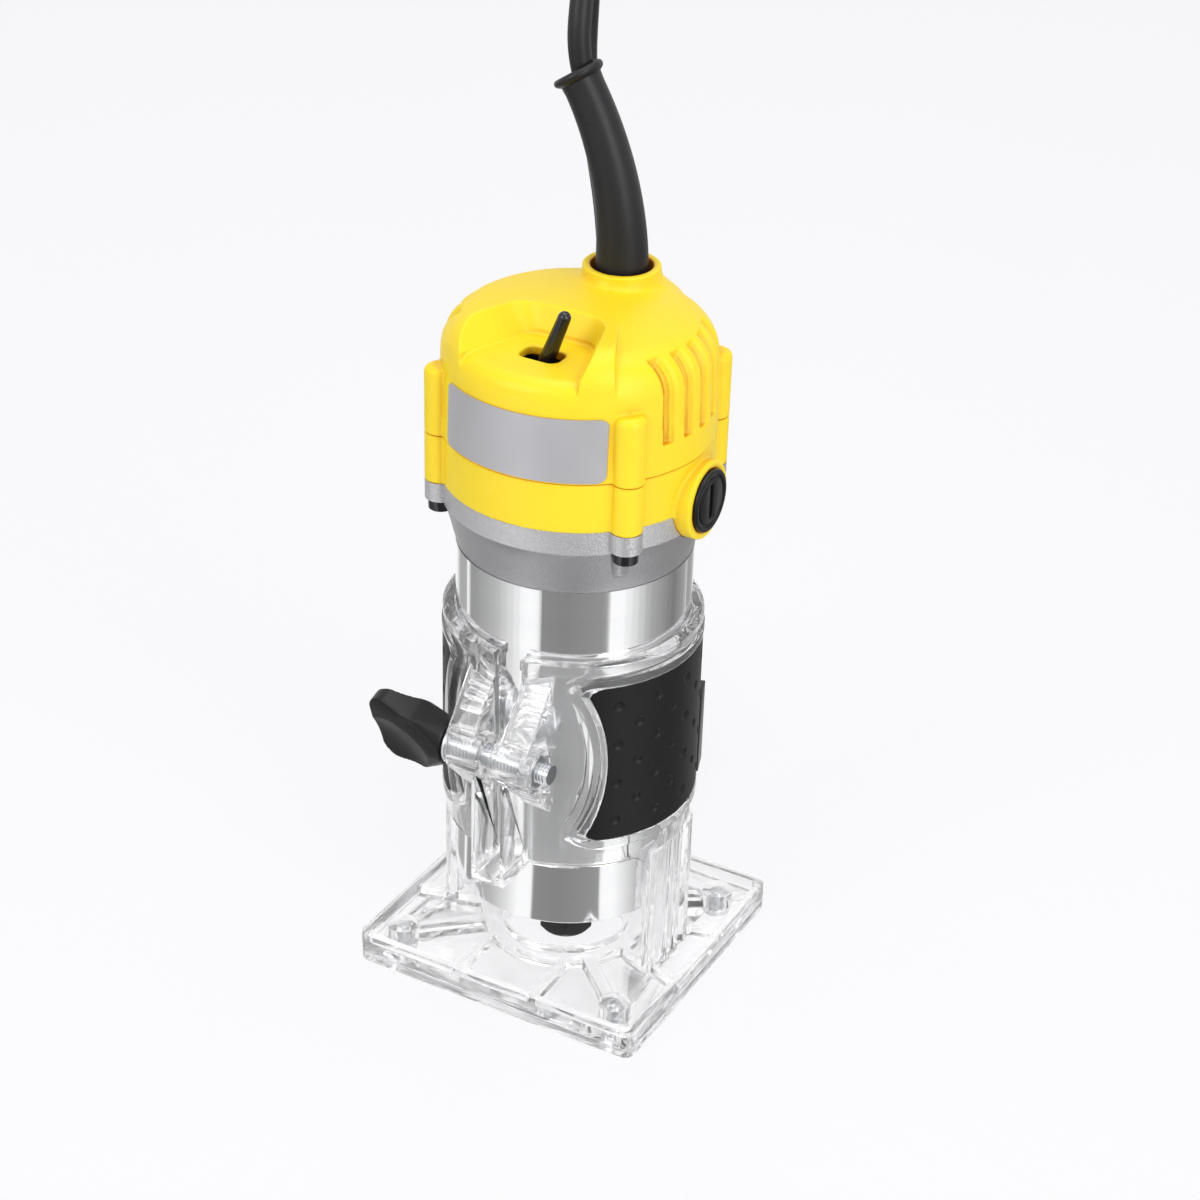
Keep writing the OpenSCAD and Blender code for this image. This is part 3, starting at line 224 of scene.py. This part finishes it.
plug_end = tail[-1] + CORD_D * heading(end_angle - TAIL_CLIMB - TAIL_TURN - 90)
cord_path = [p * MM for p in lead + coil + tail + [plug_end]]
# A rubber sheath is matt and nearly smooth, with a soft sheen along its upper side.
cord_rubber = grained("cord_rubber_sheath", "#161618", "#1F1F21", 0.42, 0.4, 0.1, patch=25,
    Specular_IOR_Level=0.3)
cord_curve = bpy.data.curves.new("mains_cord", "CURVE")
cord_curve.dimensions = "3D"
cord_curve.bevel_depth = CORD_D / 2 * MM
cord_curve.bevel_resolution = 3
cord_curve.use_fill_caps = True
cord_line = cord_curve.splines.new("POLY")
cord_line.points.add(len(cord_path) - 1)
for point, place in zip(cord_line.points, cord_path):
    point.co = (*place, 1)
    point.radius = 1
cord_form = bpy.data.objects.new("cord_form", cord_curve)
scene.collection.objects.link(cord_form)
bpy.context.view_layer.update()
cord_mesh = bpy.data.meshes.new_from_object(cord_form.evaluated_get(bpy.context.evaluated_depsgraph_get()))
bpy.data.objects.remove(cord_form)
mains_cord = bpy.data.objects.new("mains_cord", cord_mesh)
scene.collection.objects.link(mains_cord)
cord_mesh.shade_smooth()
dress(mains_cord, cord_rubber, stands_for=("cord_lead", "cord_coil"))
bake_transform(mains_cord)

# Plug and tie. The plug is moulded on the cord in the same rubber, with two flat blades of rolled brass.
# A flat rubber strap closes round one side of the coil and holds its turns together.
MERGE = 0.002
FLAT_ANGLE = 0.5
SHARP_ANGLE = 35
CREASE = 40


def copy_of(node):
    """A copy of a CAD node's mesh, with its loose triangles joined."""
    mesh = bmesh.new()
    mesh.from_mesh(nodes[node].data)
    bmesh.ops.remove_doubles(mesh, verts=mesh.verts, dist=MERGE * MM)
    return mesh


def new_piece(name, mesh, crease=180):
    """A smooth object from a finished bmesh, with sharp edges past the crease angle."""
    data = bpy.data.meshes.new(name)
    mesh.to_mesh(data)
    mesh.free()
    if data.has_custom_normals:
        data.attributes.remove(data.attributes["custom_normal"])
    data.shade_smooth()
    data.set_sharp_from_angle(angle=math.radians(crease))
    piece = bpy.data.objects.new(name, data)
    scene.collection.objects.link(piece)
    return piece


def baked(piece):
    """Makes what a piece's modifiers show its own mesh."""
    graph = bpy.context.evaluated_depsgraph_get()
    data = bpy.data.meshes.new_from_object(piece.evaluated_get(graph))
    piece.modifiers.clear()
    piece.data = data
    return piece


def edged(name, node, width, segments=2):
    """A copy of a CAD node with its sharp edges rounded over by a width in millimetres."""
    mesh = copy_of(node)
    flat = math.radians(FLAT_ANGLE)
    bmesh.ops.dissolve_limit(mesh, angle_limit=flat, verts=mesh.verts, edges=mesh.edges)
    sharp = [e for e in mesh.edges if e.calc_face_angle() > math.radians(SHARP_ANGLE)]
    bmesh.ops.bevel(mesh, geom=sharp, offset=width * MM, offset_type="OFFSET", segments=segments,
        profile=0.5, affect="EDGES", material=-1)
    return new_piece(name, mesh, CREASE)


def softened(name, node, voxel, passes, keep=1.0, room=0.0):
    """A copy of a CAD node with all its edges rounded, as a mould leaves them.

    Voxel is the size of its faces before the share that is kept, and room is how far its skin stands back
    from what it is set in, both in millimetres.
    """
    piece = new_piece(name, copy_of(node))
    skin = piece.modifiers.new("skin", "REMESH")
    skin.mode = "VOXEL"
    skin.voxel_size = voxel * MM
    skin.use_smooth_shade = True
    rounding = piece.modifiers.new("rounding", "SMOOTH")
    rounding.factor = 0.5
    rounding.iterations = passes
    if keep < 1:
        piece.modifiers.new("thinning", "DECIMATE").ratio = keep
    if room:
        tuck = piece.modifiers.new("tuck", "DISPLACE")
        tuck.mid_level = 0
        tuck.strength = -room * MM
    return baked(piece)


plug = dress(softened("plug", "plug_body", 0.5, 8), cord_rubber, "base", ("plug_body",))
tie = dress(edged("coil_tie", "cord_tie", 0.3), cord_rubber, "base", ("cord_tie",))
# Rolled brass is bright and warm, with a faintly uneven polish.
rolled_brass = grained("rolled_brass", "#B08D45", "#C6A55A", 0.28, 0.3, 0.05, Metallic=1.0)
dress(nodes["plug_blades"], rolled_brass)

# Clear base. One moulding of clear polycarbonate makes the ribbed plate, two legs, the split sleeve and its
# ears. A flat clear sub-base closes it from below, held by four countersunk screws of zinc plated steel.
SUB_BASE_GAP = 0.06
SEAT_BAND = 0.01
# Moulded polycarbonate is colourless and glossy, with a slight haze. Its index is set below the real 1.58,
# at which the walls bend the dark of the grips and the cord into streaks. Lamps shine through it.
clear_plastic, clear_tree, clear_shader = new_material("clear_polycarbonate", Base_Color=linear("#FDFDFD"),
    Roughness=0.02, IOR=1.45, Transmission_Weight=0.95)
lamp_ray = add(clear_tree, "LightPath").outputs["Is Shadow Ray"]
passed = add(clear_tree, "BsdfTransparent", {"Color": linear("#F8F9F9")}).outputs[0]
clear_mix = add(clear_tree, "MixShader", {0: lamp_ray, 1: clear_shader.outputs[0], 2: passed})
clear_tree.links.new(clear_mix.outputs[0], clear_tree.nodes["Material Output"].inputs["Surface"])
clear_base = edged("clear_base", "base_body", 0.25)
dress(clear_base, clear_plastic, "base", ("base_body",))
sub_plate = edged("sub_base_plate", "sub_base", 0.3)
seat_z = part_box("sub_base")[1].z
# The sub-base's upper face stands back a hair, because two clear faces in one plane don't render cleanly.
for vert in sub_plate.data.vertices:
    if vert.co.z > seat_z - SEAT_BAND * MM:
        vert.co.z = seat_z - SUB_BASE_GAP * MM
dress(sub_plate, clear_plastic, "base", ("sub_base",))
# Zinc plated steel is bright and slightly blue, with a soft blur.
zinc_steel = grained("zinc_plated_steel", "#C4C7CA", "#DDDFE1", 0.24, 0.35, 0.06, Metallic=1.0)
dress(edged("sub_base_fixings", "sub_base_screws", 0.12), zinc_steel, "base", ("sub_base_screws",))

# Rubber grips. Two soft pads of black rubber, moulded with rows of small dimples.
# They are set in recesses on both sides of the clear sleeve and stand back a hair from its borders.
GRIP_ROOM = 0.12
# Moulded grip rubber is nearly black and dull, with a fine even grain.
grip_rubber = grained("grip_rubber", "#101012", "#171719", 0.45, 0.35, 0.15, patch=15,
    Specular_IOR_Level=0.25)
for side in ("left", "right"):
    pad = softened("rubber_grip_" + side, "grip_" + side, 0.3, 2, room=GRIP_ROOM)
    dress(pad, grip_rubber, "base", ("grip_" + side,))

# Clamp. A steel stud with a rolled thread draws the two ears together. It is moulded into the black key on
# the left, bears on a plain washer, and screws into a hexagon nut that is held in the right ear.
BOLT = Vector((0, -42.5, 85.3)) * MM
STUD_R = 3.0
STUD_CREASE = 30
THREAD_PITCH = 1.0
THREAD_DEPTH = 0.5
THREAD_STEPS = 24
THREAD_MERGE = 0.01
CORE_R = STUD_R - THREAD_DEPTH
THREAD_FORM = ((0, CORE_R), (0.1, CORE_R), (0.45, STUD_R), (0.65, STUD_R), (1, CORE_R))


def cut_at(mesh, place, facing, drop=True):
    """Cuts a mesh at a plane, drops the part that the plane faces if asked, and gives the cut's edges."""
    whole = mesh.verts[:] + mesh.edges[:] + mesh.faces[:]
    cut = bmesh.ops.bisect_plane(mesh, geom=whole, plane_co=place, plane_no=facing, clear_outer=drop)
    return [e for e in cut["geom_cut"] if isinstance(e, bmesh.types.BMEdge)]


dress(edged("clamp_hex_nut", "clamp_nut", 0.25), zinc_steel, "base", ("clamp_nut",))
washer = edged("clamp_plain_washer", "clamp_washer", 0.15)
dress(washer, zinc_steel, "clamp_washer", ("clamp_washer",))
stud_from, stud_to = (corner.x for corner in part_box("clamp_stud"))
turns = math.ceil((stud_to - stud_from) / (THREAD_PITCH * MM)) + 2
start_x = stud_from - THREAD_PITCH * MM
thread = bmesh.new()
points = []
for share, r in THREAD_FORM:
    points.append(thread.verts.new((start_x + share * THREAD_PITCH * MM, BOLT.y, BOLT.z + r * MM)))
ridge = [thread.edges.new(pair) for pair in zip(points, points[1:])]
bmesh.ops.spin(thread, geom=points + ridge, cent=BOLT, axis=(1, 0, 0), angle=2 * math.pi * turns,
    steps=THREAD_STEPS * turns, dvec=(THREAD_PITCH * MM / THREAD_STEPS, 0, 0))
bmesh.ops.remove_doubles(thread, verts=thread.verts, dist=THREAD_MERGE * MM)
for end, facing in ((stud_from, -1), (stud_to, 1)):
    rim = cut_at(thread, (end, 0, 0), (facing, 0, 0))
    bmesh.ops.contextual_create(thread, geom=rim)
bmesh.ops.recalc_face_normals(thread, faces=thread.faces)
stud = new_piece("threaded_stud", thread, STUD_CREASE)
dress(stud, zinc_steel, "clamp_knob", ("clamp_stud",))
# Moulded black nylon is smoother than the rubber and shows soft broad lights.
black_nylon = grained("black_nylon", "#0D0D0F", "#131315", 0.34, 0.35, 0.1, patch=10,
    Specular_IOR_Level=0.3)
key = softened("clamp_key", "clamp_knob", 0.3, 6)
dress(key, black_nylon, "clamp_knob", ("clamp_knob",))

# Motor housing. One aluminium casting: its barrel is turned bright to slide in the sleeve, its head widens
# in a plain cone to a blasted band with lugs. A groove marks off the cone, and four blackened screws go up
# through the lugs into the yellow mouldings.
BARREL_TOP = 134.4
BARREL_R = 32.5
BARREL_SKIN = 0.1
SPLIT_Z = BARREL_TOP - 0.2
GROOVE_W = 0.7
GROOVE_DEPTH = 0.5
GROOVE_WALL = 0.05
GROOVE_FOOT = SPLIT_Z - GROOVE_W
BAND_FOOT = 146.5
CASTING_CREASE = 30
# Turned aluminium is nearly a mirror. The marks of the tool run round it and draw its lights out upright.
turned = grained("turned_aluminium", "#EEEFF0", "#F6F6F7", 0.09, 0.25, 0.01, stretch=(0.2, 0.2, 3),
    Metallic=1.0)
# The cast head is rougher: its cone has a fine even grain, and its band is blasted and glitters.
cast = grained("cast_aluminium", "#B0AFB1", "#BAB9BB", 0.42, 0.6, 0.6, patch=8, Metallic=0.85)
blasted = grained("blasted_aluminium", "#BDBCBE", "#DAD9DB", 0.4, 0.5, 0.8, patch=0.8, Metallic=0.75)


def part_of(node, height, upper):
    """The part of a copied CAD node above or below a height, closed with a flat ring."""
    mesh = copy_of(node)
    rims = cut_at(mesh, (0, 0, height * MM), (0, 0, -1 if upper else 1))
    bmesh.ops.bridge_loops(mesh, edges=rims)
    bmesh.ops.recalc_face_normals(mesh, faces=mesh.faces)
    return mesh


barrel_mesh = part_of("motor_casting", SPLIT_Z, False)
for rim_z in (GROOVE_FOOT, GROOVE_FOOT - GROOVE_WALL):
    cut_at(barrel_mesh, (0, 0, rim_z * MM), (0, 0, 1), drop=False)
for vert in barrel_mesh.verts:
    reach = vert.co.xy.length
    if vert.co.z > (GROOVE_FOOT - GROOVE_WALL / 2) * MM and reach > (BARREL_R - BARREL_SKIN) * MM:
        vert.co.xy *= (BARREL_R - GROOVE_DEPTH) * MM / reach
barrel = new_piece("turned_barrel", barrel_mesh, CASTING_CREASE)
dress(barrel, turned, "motor", ("motor_casting",))
# Painted shade: the groove's faces take the darker, duller cast finish, so that the groove shows as a dark
# line.
barrel.data.materials.append(cast)
for face in barrel.data.polygons:
    face.material_index = int(face.center.z > (GROOVE_FOOT - GROOVE_WALL) * MM)
head = new_piece("cast_head", part_of("motor_casting", SPLIT_Z, True), CASTING_CREASE)
dress(head, blasted, "motor", ("motor_casting",))
head.data.materials.append(cast)
for face in head.data.polygons:
    face.material_index = int(face.center.z < BAND_FOOT * MM)
# Blackened steel screws are dark and shiny.
black_steel = grained("blackened_steel", "#3C3C40", "#55555A", 0.16, 0.3, 0.05, Metallic=1.0)
fixings = edged("housing_fixings", "housing_screws", 0.35, 3)
dress(fixings, black_steel, "motor", ("housing_screws",))

# Yellow mouldings. A ring with the brush bosses and a domed cap with the vents, the switch's pocket and the
# cord's collar close the motor's top. Both are moulded in filled nylon with soft edges, and the collar
# flows into the dome.
COLLAR = Vector((0, 21.6, 205))
COLLAR_ROOT_R = (10, 20)
COLLAR_ROOT_DOWN = (0.8, 16)
COLLAR_LIP_FADE = 1.5
COLLAR_DOME_FADE = 4
FILLET_PULL = 0.6
FILLET_PASSES = 90
HOLLOW_REACH = 5
HOLLOW_OPENNESS = (0.4, 0.88)
# Filled nylon from a fine mould has a satin gloss, and lets a little light into its skin.
yellow = grained("yellow_nylon", "#F8D61C", "#FADC24", 0.42, 0.5, 0.05, patch=30, Specular_IOR_Level=0.35,
    Subsurface_Weight=0.1, Subsurface_Radius=(1, 0.45, 0.03), Subsurface_Scale=1.5 * MM)
# Painted shade: where ambient occlusion finds a hollow, the nylon's colour turns a deeper orange, standing
# in for light that bounces about there.
yellow_tree = yellow.node_tree
yellow_shader = yellow_tree.nodes["Principled BSDF"]
open_tint = yellow_shader.inputs["Base Color"].links[0].from_socket
openness = add(yellow_tree, "AmbientOcclusion", {"Distance": HOLLOW_REACH * MM}, samples=8).outputs["AO"]
open_share = add(yellow_tree, "MapRange",
    {"Value": openness, "From Min": HOLLOW_OPENNESS[0], "From Max": HOLLOW_OPENNESS[1]}).outputs[0]
painted_hollow_shade = add(yellow_tree, "Mix", {0: open_share, 6: linear("#DE9204"), 7: open_tint}, data_type="RGBA")
yellow_tree.links.new(painted_hollow_shade.outputs[2], yellow_shader.inputs["Base Color"])
ring = softened("brush_ring", "motor_ring", 0.4, 4, 0.6)
dress(ring, yellow, "motor", ("motor_ring",))
cap = softened("domed_cap", "top_cap", 0.35, 3, 0.4)
root = cap.vertex_groups.new(name="collar_root")
for vert in cap.data.vertices:
    out = (vert.co / MM - COLLAR).xy.length
    down = COLLAR.z - vert.co.z / MM
    if COLLAR_ROOT_R[0] < out < COLLAR_ROOT_R[1] and COLLAR_ROOT_DOWN[0] < down < COLLAR_ROOT_DOWN[1]:
        below_lip = ease((down - COLLAR_ROOT_DOWN[0]) / COLLAR_LIP_FADE)
        near_collar = ease((COLLAR_ROOT_R[1] - out) / COLLAR_DOME_FADE)
        root.add([vert.index], below_lip * near_collar, "REPLACE")
fillet = cap.modifiers.new("fillet", "SMOOTH")
fillet.vertex_group = "collar_root"
fillet.factor = FILLET_PULL
fillet.iterations = FILLET_PASSES
baked(cap)
dress(cap, yellow, "motor", ("top_cap",))

# Label plate and brush caps. A bare grey plate of painted foil is stuck on the front of the cap.
# A slotted cap of black nylon screws into the boss on each side and holds the carbon brush.
# Painted foil is an even satin grey with a faint metal sheen.
label_grey = grained("label_foil", "#B0B0B3", "#BBBBBE", 0.38, 0.3, 0.03, Metallic=0.3)
dress(nodes["label_plate"], label_grey)
for side in ("left", "right"):
    brush_plug = edged("brush_plug_" + side, "brush_cap_" + side, 0.3)
    dress(brush_plug, black_nylon, "motor", ("brush_cap_" + side,))

# Switch. A black toggle of polished nylon tips from side to side in the slot of the cap's pocket.
# It pivots in a moulded switch body, which is held under the pocket's floor and hardly shows.
lever = softened("toggle", "switch_lever", 0.25, 2)
# Polished nylon shows the lamps as small bright spots.
glossy_nylon = grained("polished_black_nylon", "#0F0F11", "#161618", 0.16, 0.35, 0.03, patch=10)
dress(lever, glossy_nylon, "switch_lever", ("switch_lever",))
dress(nodes["switch_body"], black_nylon)

# Bend sleeve. A tapered tube of the cord's black rubber, which curves to the left and ends in a flared lip.
# Its flange sits inside the cap under the collar, where a nylon clamp with zinc plated screws holds it.
BEND_R = 90
SLEEVE_STEPS = 48
SLEEVE_MERGE = 0.001
SLEEVE_CREASE = 50
AXIS_R = 0.1
FLANGE_R = 9.8
FLANGE_FOOT = -11.1
FLANGE_TOP = -7.8
TUBE_R = 7.1
TIP_R = 5.4
TAPER_STEPS = 24
TAPER_LENGTH = 50
TAPER_POWER = 1.4
LIP = [
    (5.6, 50.3), (6.1, 50.6), (6.65, 51), (6.95, 51.5), (7, 52), (6.8, 52.5), (6.4, 52.85), (5.9, 52.95),
    (5.4, 52.8), (5.05, 52.4), (4.9, 51.8), (4.8, 50.5)]
BORE = [(4.6, 48), (4.3, 44), (4.3, 32), (AXIS_R, 31.5)]
sleeve_outline = [
    (AXIS_R, FLANGE_FOOT), (FLANGE_R, FLANGE_FOOT), (FLANGE_R, FLANGE_TOP), (TUBE_R, FLANGE_TOP),
    (TUBE_R, 0)]
for t in (i / TAPER_STEPS for i in range(1, TAPER_STEPS)):
    sleeve_outline.append((TIP_R + (TUBE_R - TIP_R) * (1 - t) ** TAPER_POWER, t * TAPER_LENGTH))
sleeve_outline += LIP + BORE
sleeve = bmesh.new()
rim = [sleeve.verts.new(Vector((r, 0, z)) * MM) for r, z in sleeve_outline]
line = [sleeve.edges.new(pair) for pair in zip(rim, rim[1:])]
bmesh.ops.spin(sleeve, geom=rim + line, cent=(0, 0, 0), axis=(0, 0, 1), angle=2 * math.pi,
    steps=SLEEVE_STEPS, use_merge=True)
bmesh.ops.remove_doubles(sleeve, verts=sleeve.verts, dist=SLEEVE_MERGE * MM)
bmesh.ops.holes_fill(sleeve, edges=sleeve.edges)
for vert in sleeve.verts:
    x, y, z = vert.co / MM
    if z > 0:
        turn = z / BEND_R
        x, z = (x + BEND_R) * math.cos(turn) - BEND_R, (x + BEND_R) * math.sin(turn)
    vert.co = (COLLAR + Vector((x, y, z))) * MM
bmesh.ops.recalc_face_normals(sleeve, faces=sleeve.faces)
bend_sleeve = new_piece("bend_sleeve", sleeve, SLEEVE_CREASE)
dress(bend_sleeve, cord_rubber, "motor", ("strain_relief",))
dress(nodes["cord_clamp"], black_nylon)
dress(nodes["cord_clamp_screws"], zinc_steel)

# Motor inside the housing. Stator and armature are stacked steel with copper windings. The spindle runs in
# two ball bearings and carries the commutator, a nylon fan and the collet, and two carbon brushes slide in
# brass holders behind the caps.
# Stacked steel sheets show as fine level lines.
laminated = grained("laminated_steel", "#7D8084", "#94979B", 0.4, 0.3, 0.3, stretch=(0.1, 0.1, 3),
    Metallic=0.9)
# Enamelled copper wire is a deep reddish brown and shines unevenly.
copper = grained("enamelled_copper", "#8E4A20", "#B5652B", 0.3, 0.4, 0.4, Metallic=0.9)
# Pressed carbon is dark grey and dull, with a fine grit.
carbon = grained("pressed_carbon", "#2E2E2F", "#444446", 0.6, 0.3, 0.2)
for names, material in (
        (("stator_core", "armature_core"), laminated),
        (("stator_windings", "armature_windings", "commutator"), copper),
        (("brush_holder_left", "brush_holder_right"), rolled_brass),
        (("carbon_brush_left", "carbon_brush_right"), carbon),
        (("lower_bearing", "upper_bearing", "brush_spring_left", "brush_spring_right"), zinc_steel),
        (("spindle", "collet"), zinc_steel),
        (("fan",), black_nylon)):
    for name in names:
        dress(nodes[name], material)

# Collet nut. A hexagon nut of blackened steel screws on the spindle's nose and draws the split collet shut.
# Its oxide is as dull and dark as the black nylon, so it has the same finish.
dress(edged("collet_hex_nut", "collet_nut", 0.3), black_nylon, "collet_nut", ("collet_nut",))

# Studio. A pale floor and a white surround, which the camera, metal and clear plastic see as plain white.
# Large soft lamps stand in front, to the right and above, and a toned card round the base bands the bright
# metal.
WALL_BOUNCES = 24
MIRROR_BOUNCES = 12
WHITE = "#FCFBFD"
FLOOR_SIZE = 3
FLOOR_DROP = 0.2
FLOOR_GLOW = 0.88
CARD_INNER_R = 0.063
CARD_OUTER_R = 0.9
CARD_SIDES = 64
CARD_STRENGTH = 1.08
CARD_FRONT = -60.8
CARD_TONES = (
    (-179, 0.95), (-157, 0.9), (-145, 0.4), (-129, 0.4), (-127, 1.0), (-124, 1.0), (-121.5, 0.3),
    (-101, 0.36), (-80, 0.5), (-62, 0.75), (-49, 1.0), (-35, 1.0), (-33.5, 0.26), (-8, 0.24), (31, 0.3),
    (32.5, 1.0), (46, 1.0), (60, 0.75), (78, 0.4), (110, 0.2), (132, 0.35), (139, 0.8), (143, 0.3),
    (157, 0.45), (168, 0.95))
SKY_STRENGTH = 0.45
LAMPS = (
    ("key_light", (-0.3, -0.9, 0.7), (0, 0, 0.12), (0.5, 0.6), 3.9),
    ("fill_light", (0.9, -0.4, 0.6), (0, 0, 0.12), (0.5, 0.9), 5.9),
    ("top_light", (0, 0.1, 1.1), (0, 0, 0.1), (0.8, 0.8), 4.5))


def white_to_sight(tree):
    """1 for rays that carry an image, from the camera, off metal or through clear plastic."""
    rays = add(tree, "LightPath").outputs
    seen = rays["Is Camera Ray"]
    for kind in ("Is Transmission Ray", "Is Glossy Ray"):
        seen = add(tree, "Math", {0: seen, 1: rays[kind]}, operation="MAXIMUM").outputs[0]
    return seen


# Light crosses many walls of clear plastic before it is lost.
scene.cycles.max_bounces = WALL_BOUNCES
scene.cycles.transmission_bounces = WALL_BOUNCES
scene.cycles.transparent_max_bounces = WALL_BOUNCES
scene.cycles.glossy_bounces = MIRROR_BOUNCES
floor_mesh = bmesh.new()
bmesh.ops.create_grid(floor_mesh, x_segments=1, y_segments=1, size=FLOOR_SIZE)
floor = new_piece("floor", floor_mesh)
floor.location.z = -FLOOR_DROP * MM
# Matt floor paint is near white and keeps a pale part of the tool's shadow.
floor_paint, floor_tree, floor_shader = new_material("floor_paint", Base_Color=linear("#F4F4F5"),
    Roughness=0.9)
floor_light = add(floor_tree, "Emission", {"Color": linear(WHITE), "Strength": 1.0}).outputs[0]
glow = add(floor_tree, "Math", {0: white_to_sight(floor_tree), 1: FLOOR_GLOW}, operation="MULTIPLY")
floor_mix = add(floor_tree, "MixShader", {0: glow.outputs[0], 1: floor_shader.outputs[0], 2: floor_light})
floor_tree.links.new(floor_mix.outputs[0], floor_tree.nodes["Material Output"].inputs["Surface"])
floor.data.materials.append(floor_paint)
# A ring of card lies on the floor round the base. Only metal and clear plastic see it: its grey front,
# bright shoulders and greyer sides, by their turn from its front in degrees, give the barrel its upright
# bands. Its streaks leave the barrel's foot at a slant, as mirrored rays do, so the bands stay upright.
card_mesh = bmesh.new()
for radius in (CARD_INNER_R, CARD_OUTER_R):
    bmesh.ops.create_circle(card_mesh, segments=CARD_SIDES, radius=radius)
bmesh.ops.bridge_loops(card_mesh, edges=card_mesh.edges)
card = new_piece("banding_card", card_mesh)
card_paint = bpy.data.materials.new("card_paint")
card_paint.use_nodes = True
card_tree = card_paint.node_tree
card_tree.nodes.clear()
spot = add(card_tree, "TexCoord").outputs["Object"]
to_front = (0, 0, -math.radians(CARD_FRONT))
around = add(card_tree, "Mapping", {"Vector": spot, "Rotation": to_front}).outputs[0]
sweep = add(card_tree, "TexGradient", {"Vector": around}, gradient_type="RADIAL").outputs["Fac"]
distance = add(card_tree, "VectorMath", {0: around}, operation="LENGTH").outputs["Value"]
nearness = add(card_tree, "Math", {0: BARREL_R * MM, 1: distance}, operation="DIVIDE").outputs[0]
half_turn = add(card_tree, "MapRange", {"Value": sweep, "To Min": -math.pi / 2, "To Max": math.pi / 2})
swing = add(card_tree, "Math", {0: half_turn.outputs[0]}, operation="SINE").outputs[0]
slant = add(card_tree, "Math", {0: nearness, 1: swing}, operation="MULTIPLY").outputs[0]
slant = add(card_tree, "Math", {0: slant}, operation="ARCSINE").outputs[0]
streak = add(card_tree, "Math", {0: slant, 1: 1 / (2 * math.pi), 2: sweep}, operation="MULTIPLY_ADD")
tones = add(card_tree, "ValToRGB", {"Fac": streak.outputs[0]})
while len(tones.color_ramp.elements) < len(CARD_TONES):
    tones.color_ramp.elements.new(0.5)
for stop, (turn, tone) in zip(tones.color_ramp.elements, CARD_TONES):
    stop.position = turn / 360 + 0.5
    stop.color = (tone, tone, tone, 1)
card_light = add(card_tree, "Emission", {"Color": tones.outputs["Color"], "Strength": CARD_STRENGTH})
add(card_tree, "OutputMaterial", {"Surface": card_light.outputs[0]})
card.data.materials.append(card_paint)
card.visible_camera = False
card.visible_diffuse = False
card.visible_shadow = False
world = bpy.data.worlds.new("studio")
scene.world = world
world.use_nodes = True
sky = world.node_tree
sky.nodes.clear()
white = add(sky, "Background", {"Color": linear(WHITE), "Strength": 1.0}).outputs[0]
soft = add(sky, "Background", {"Color": linear("#F2F3F6"), "Strength": SKY_STRENGTH}).outputs[0]
both = add(sky, "MixShader", {0: white_to_sight(sky), 1: soft, 2: white})
add(sky, "OutputWorld", {"Surface": both.outputs[0]})
for name, place, aim, size, power in LAMPS:
    lamp_data = bpy.data.lights.new(name, "AREA")
    lamp_data.shape = "RECTANGLE"
    lamp_data.size, lamp_data.size_y = size
    lamp_data.energy = power
    lamp = bpy.data.objects.new(name, lamp_data)
    scene.collection.objects.link(lamp)
    lamp.location = place
    lamp.rotation_euler = (Vector(aim) - Vector(place)).to_track_quat("-Z", "Y").to_euler()
scene.view_settings.view_transform = "Standard"
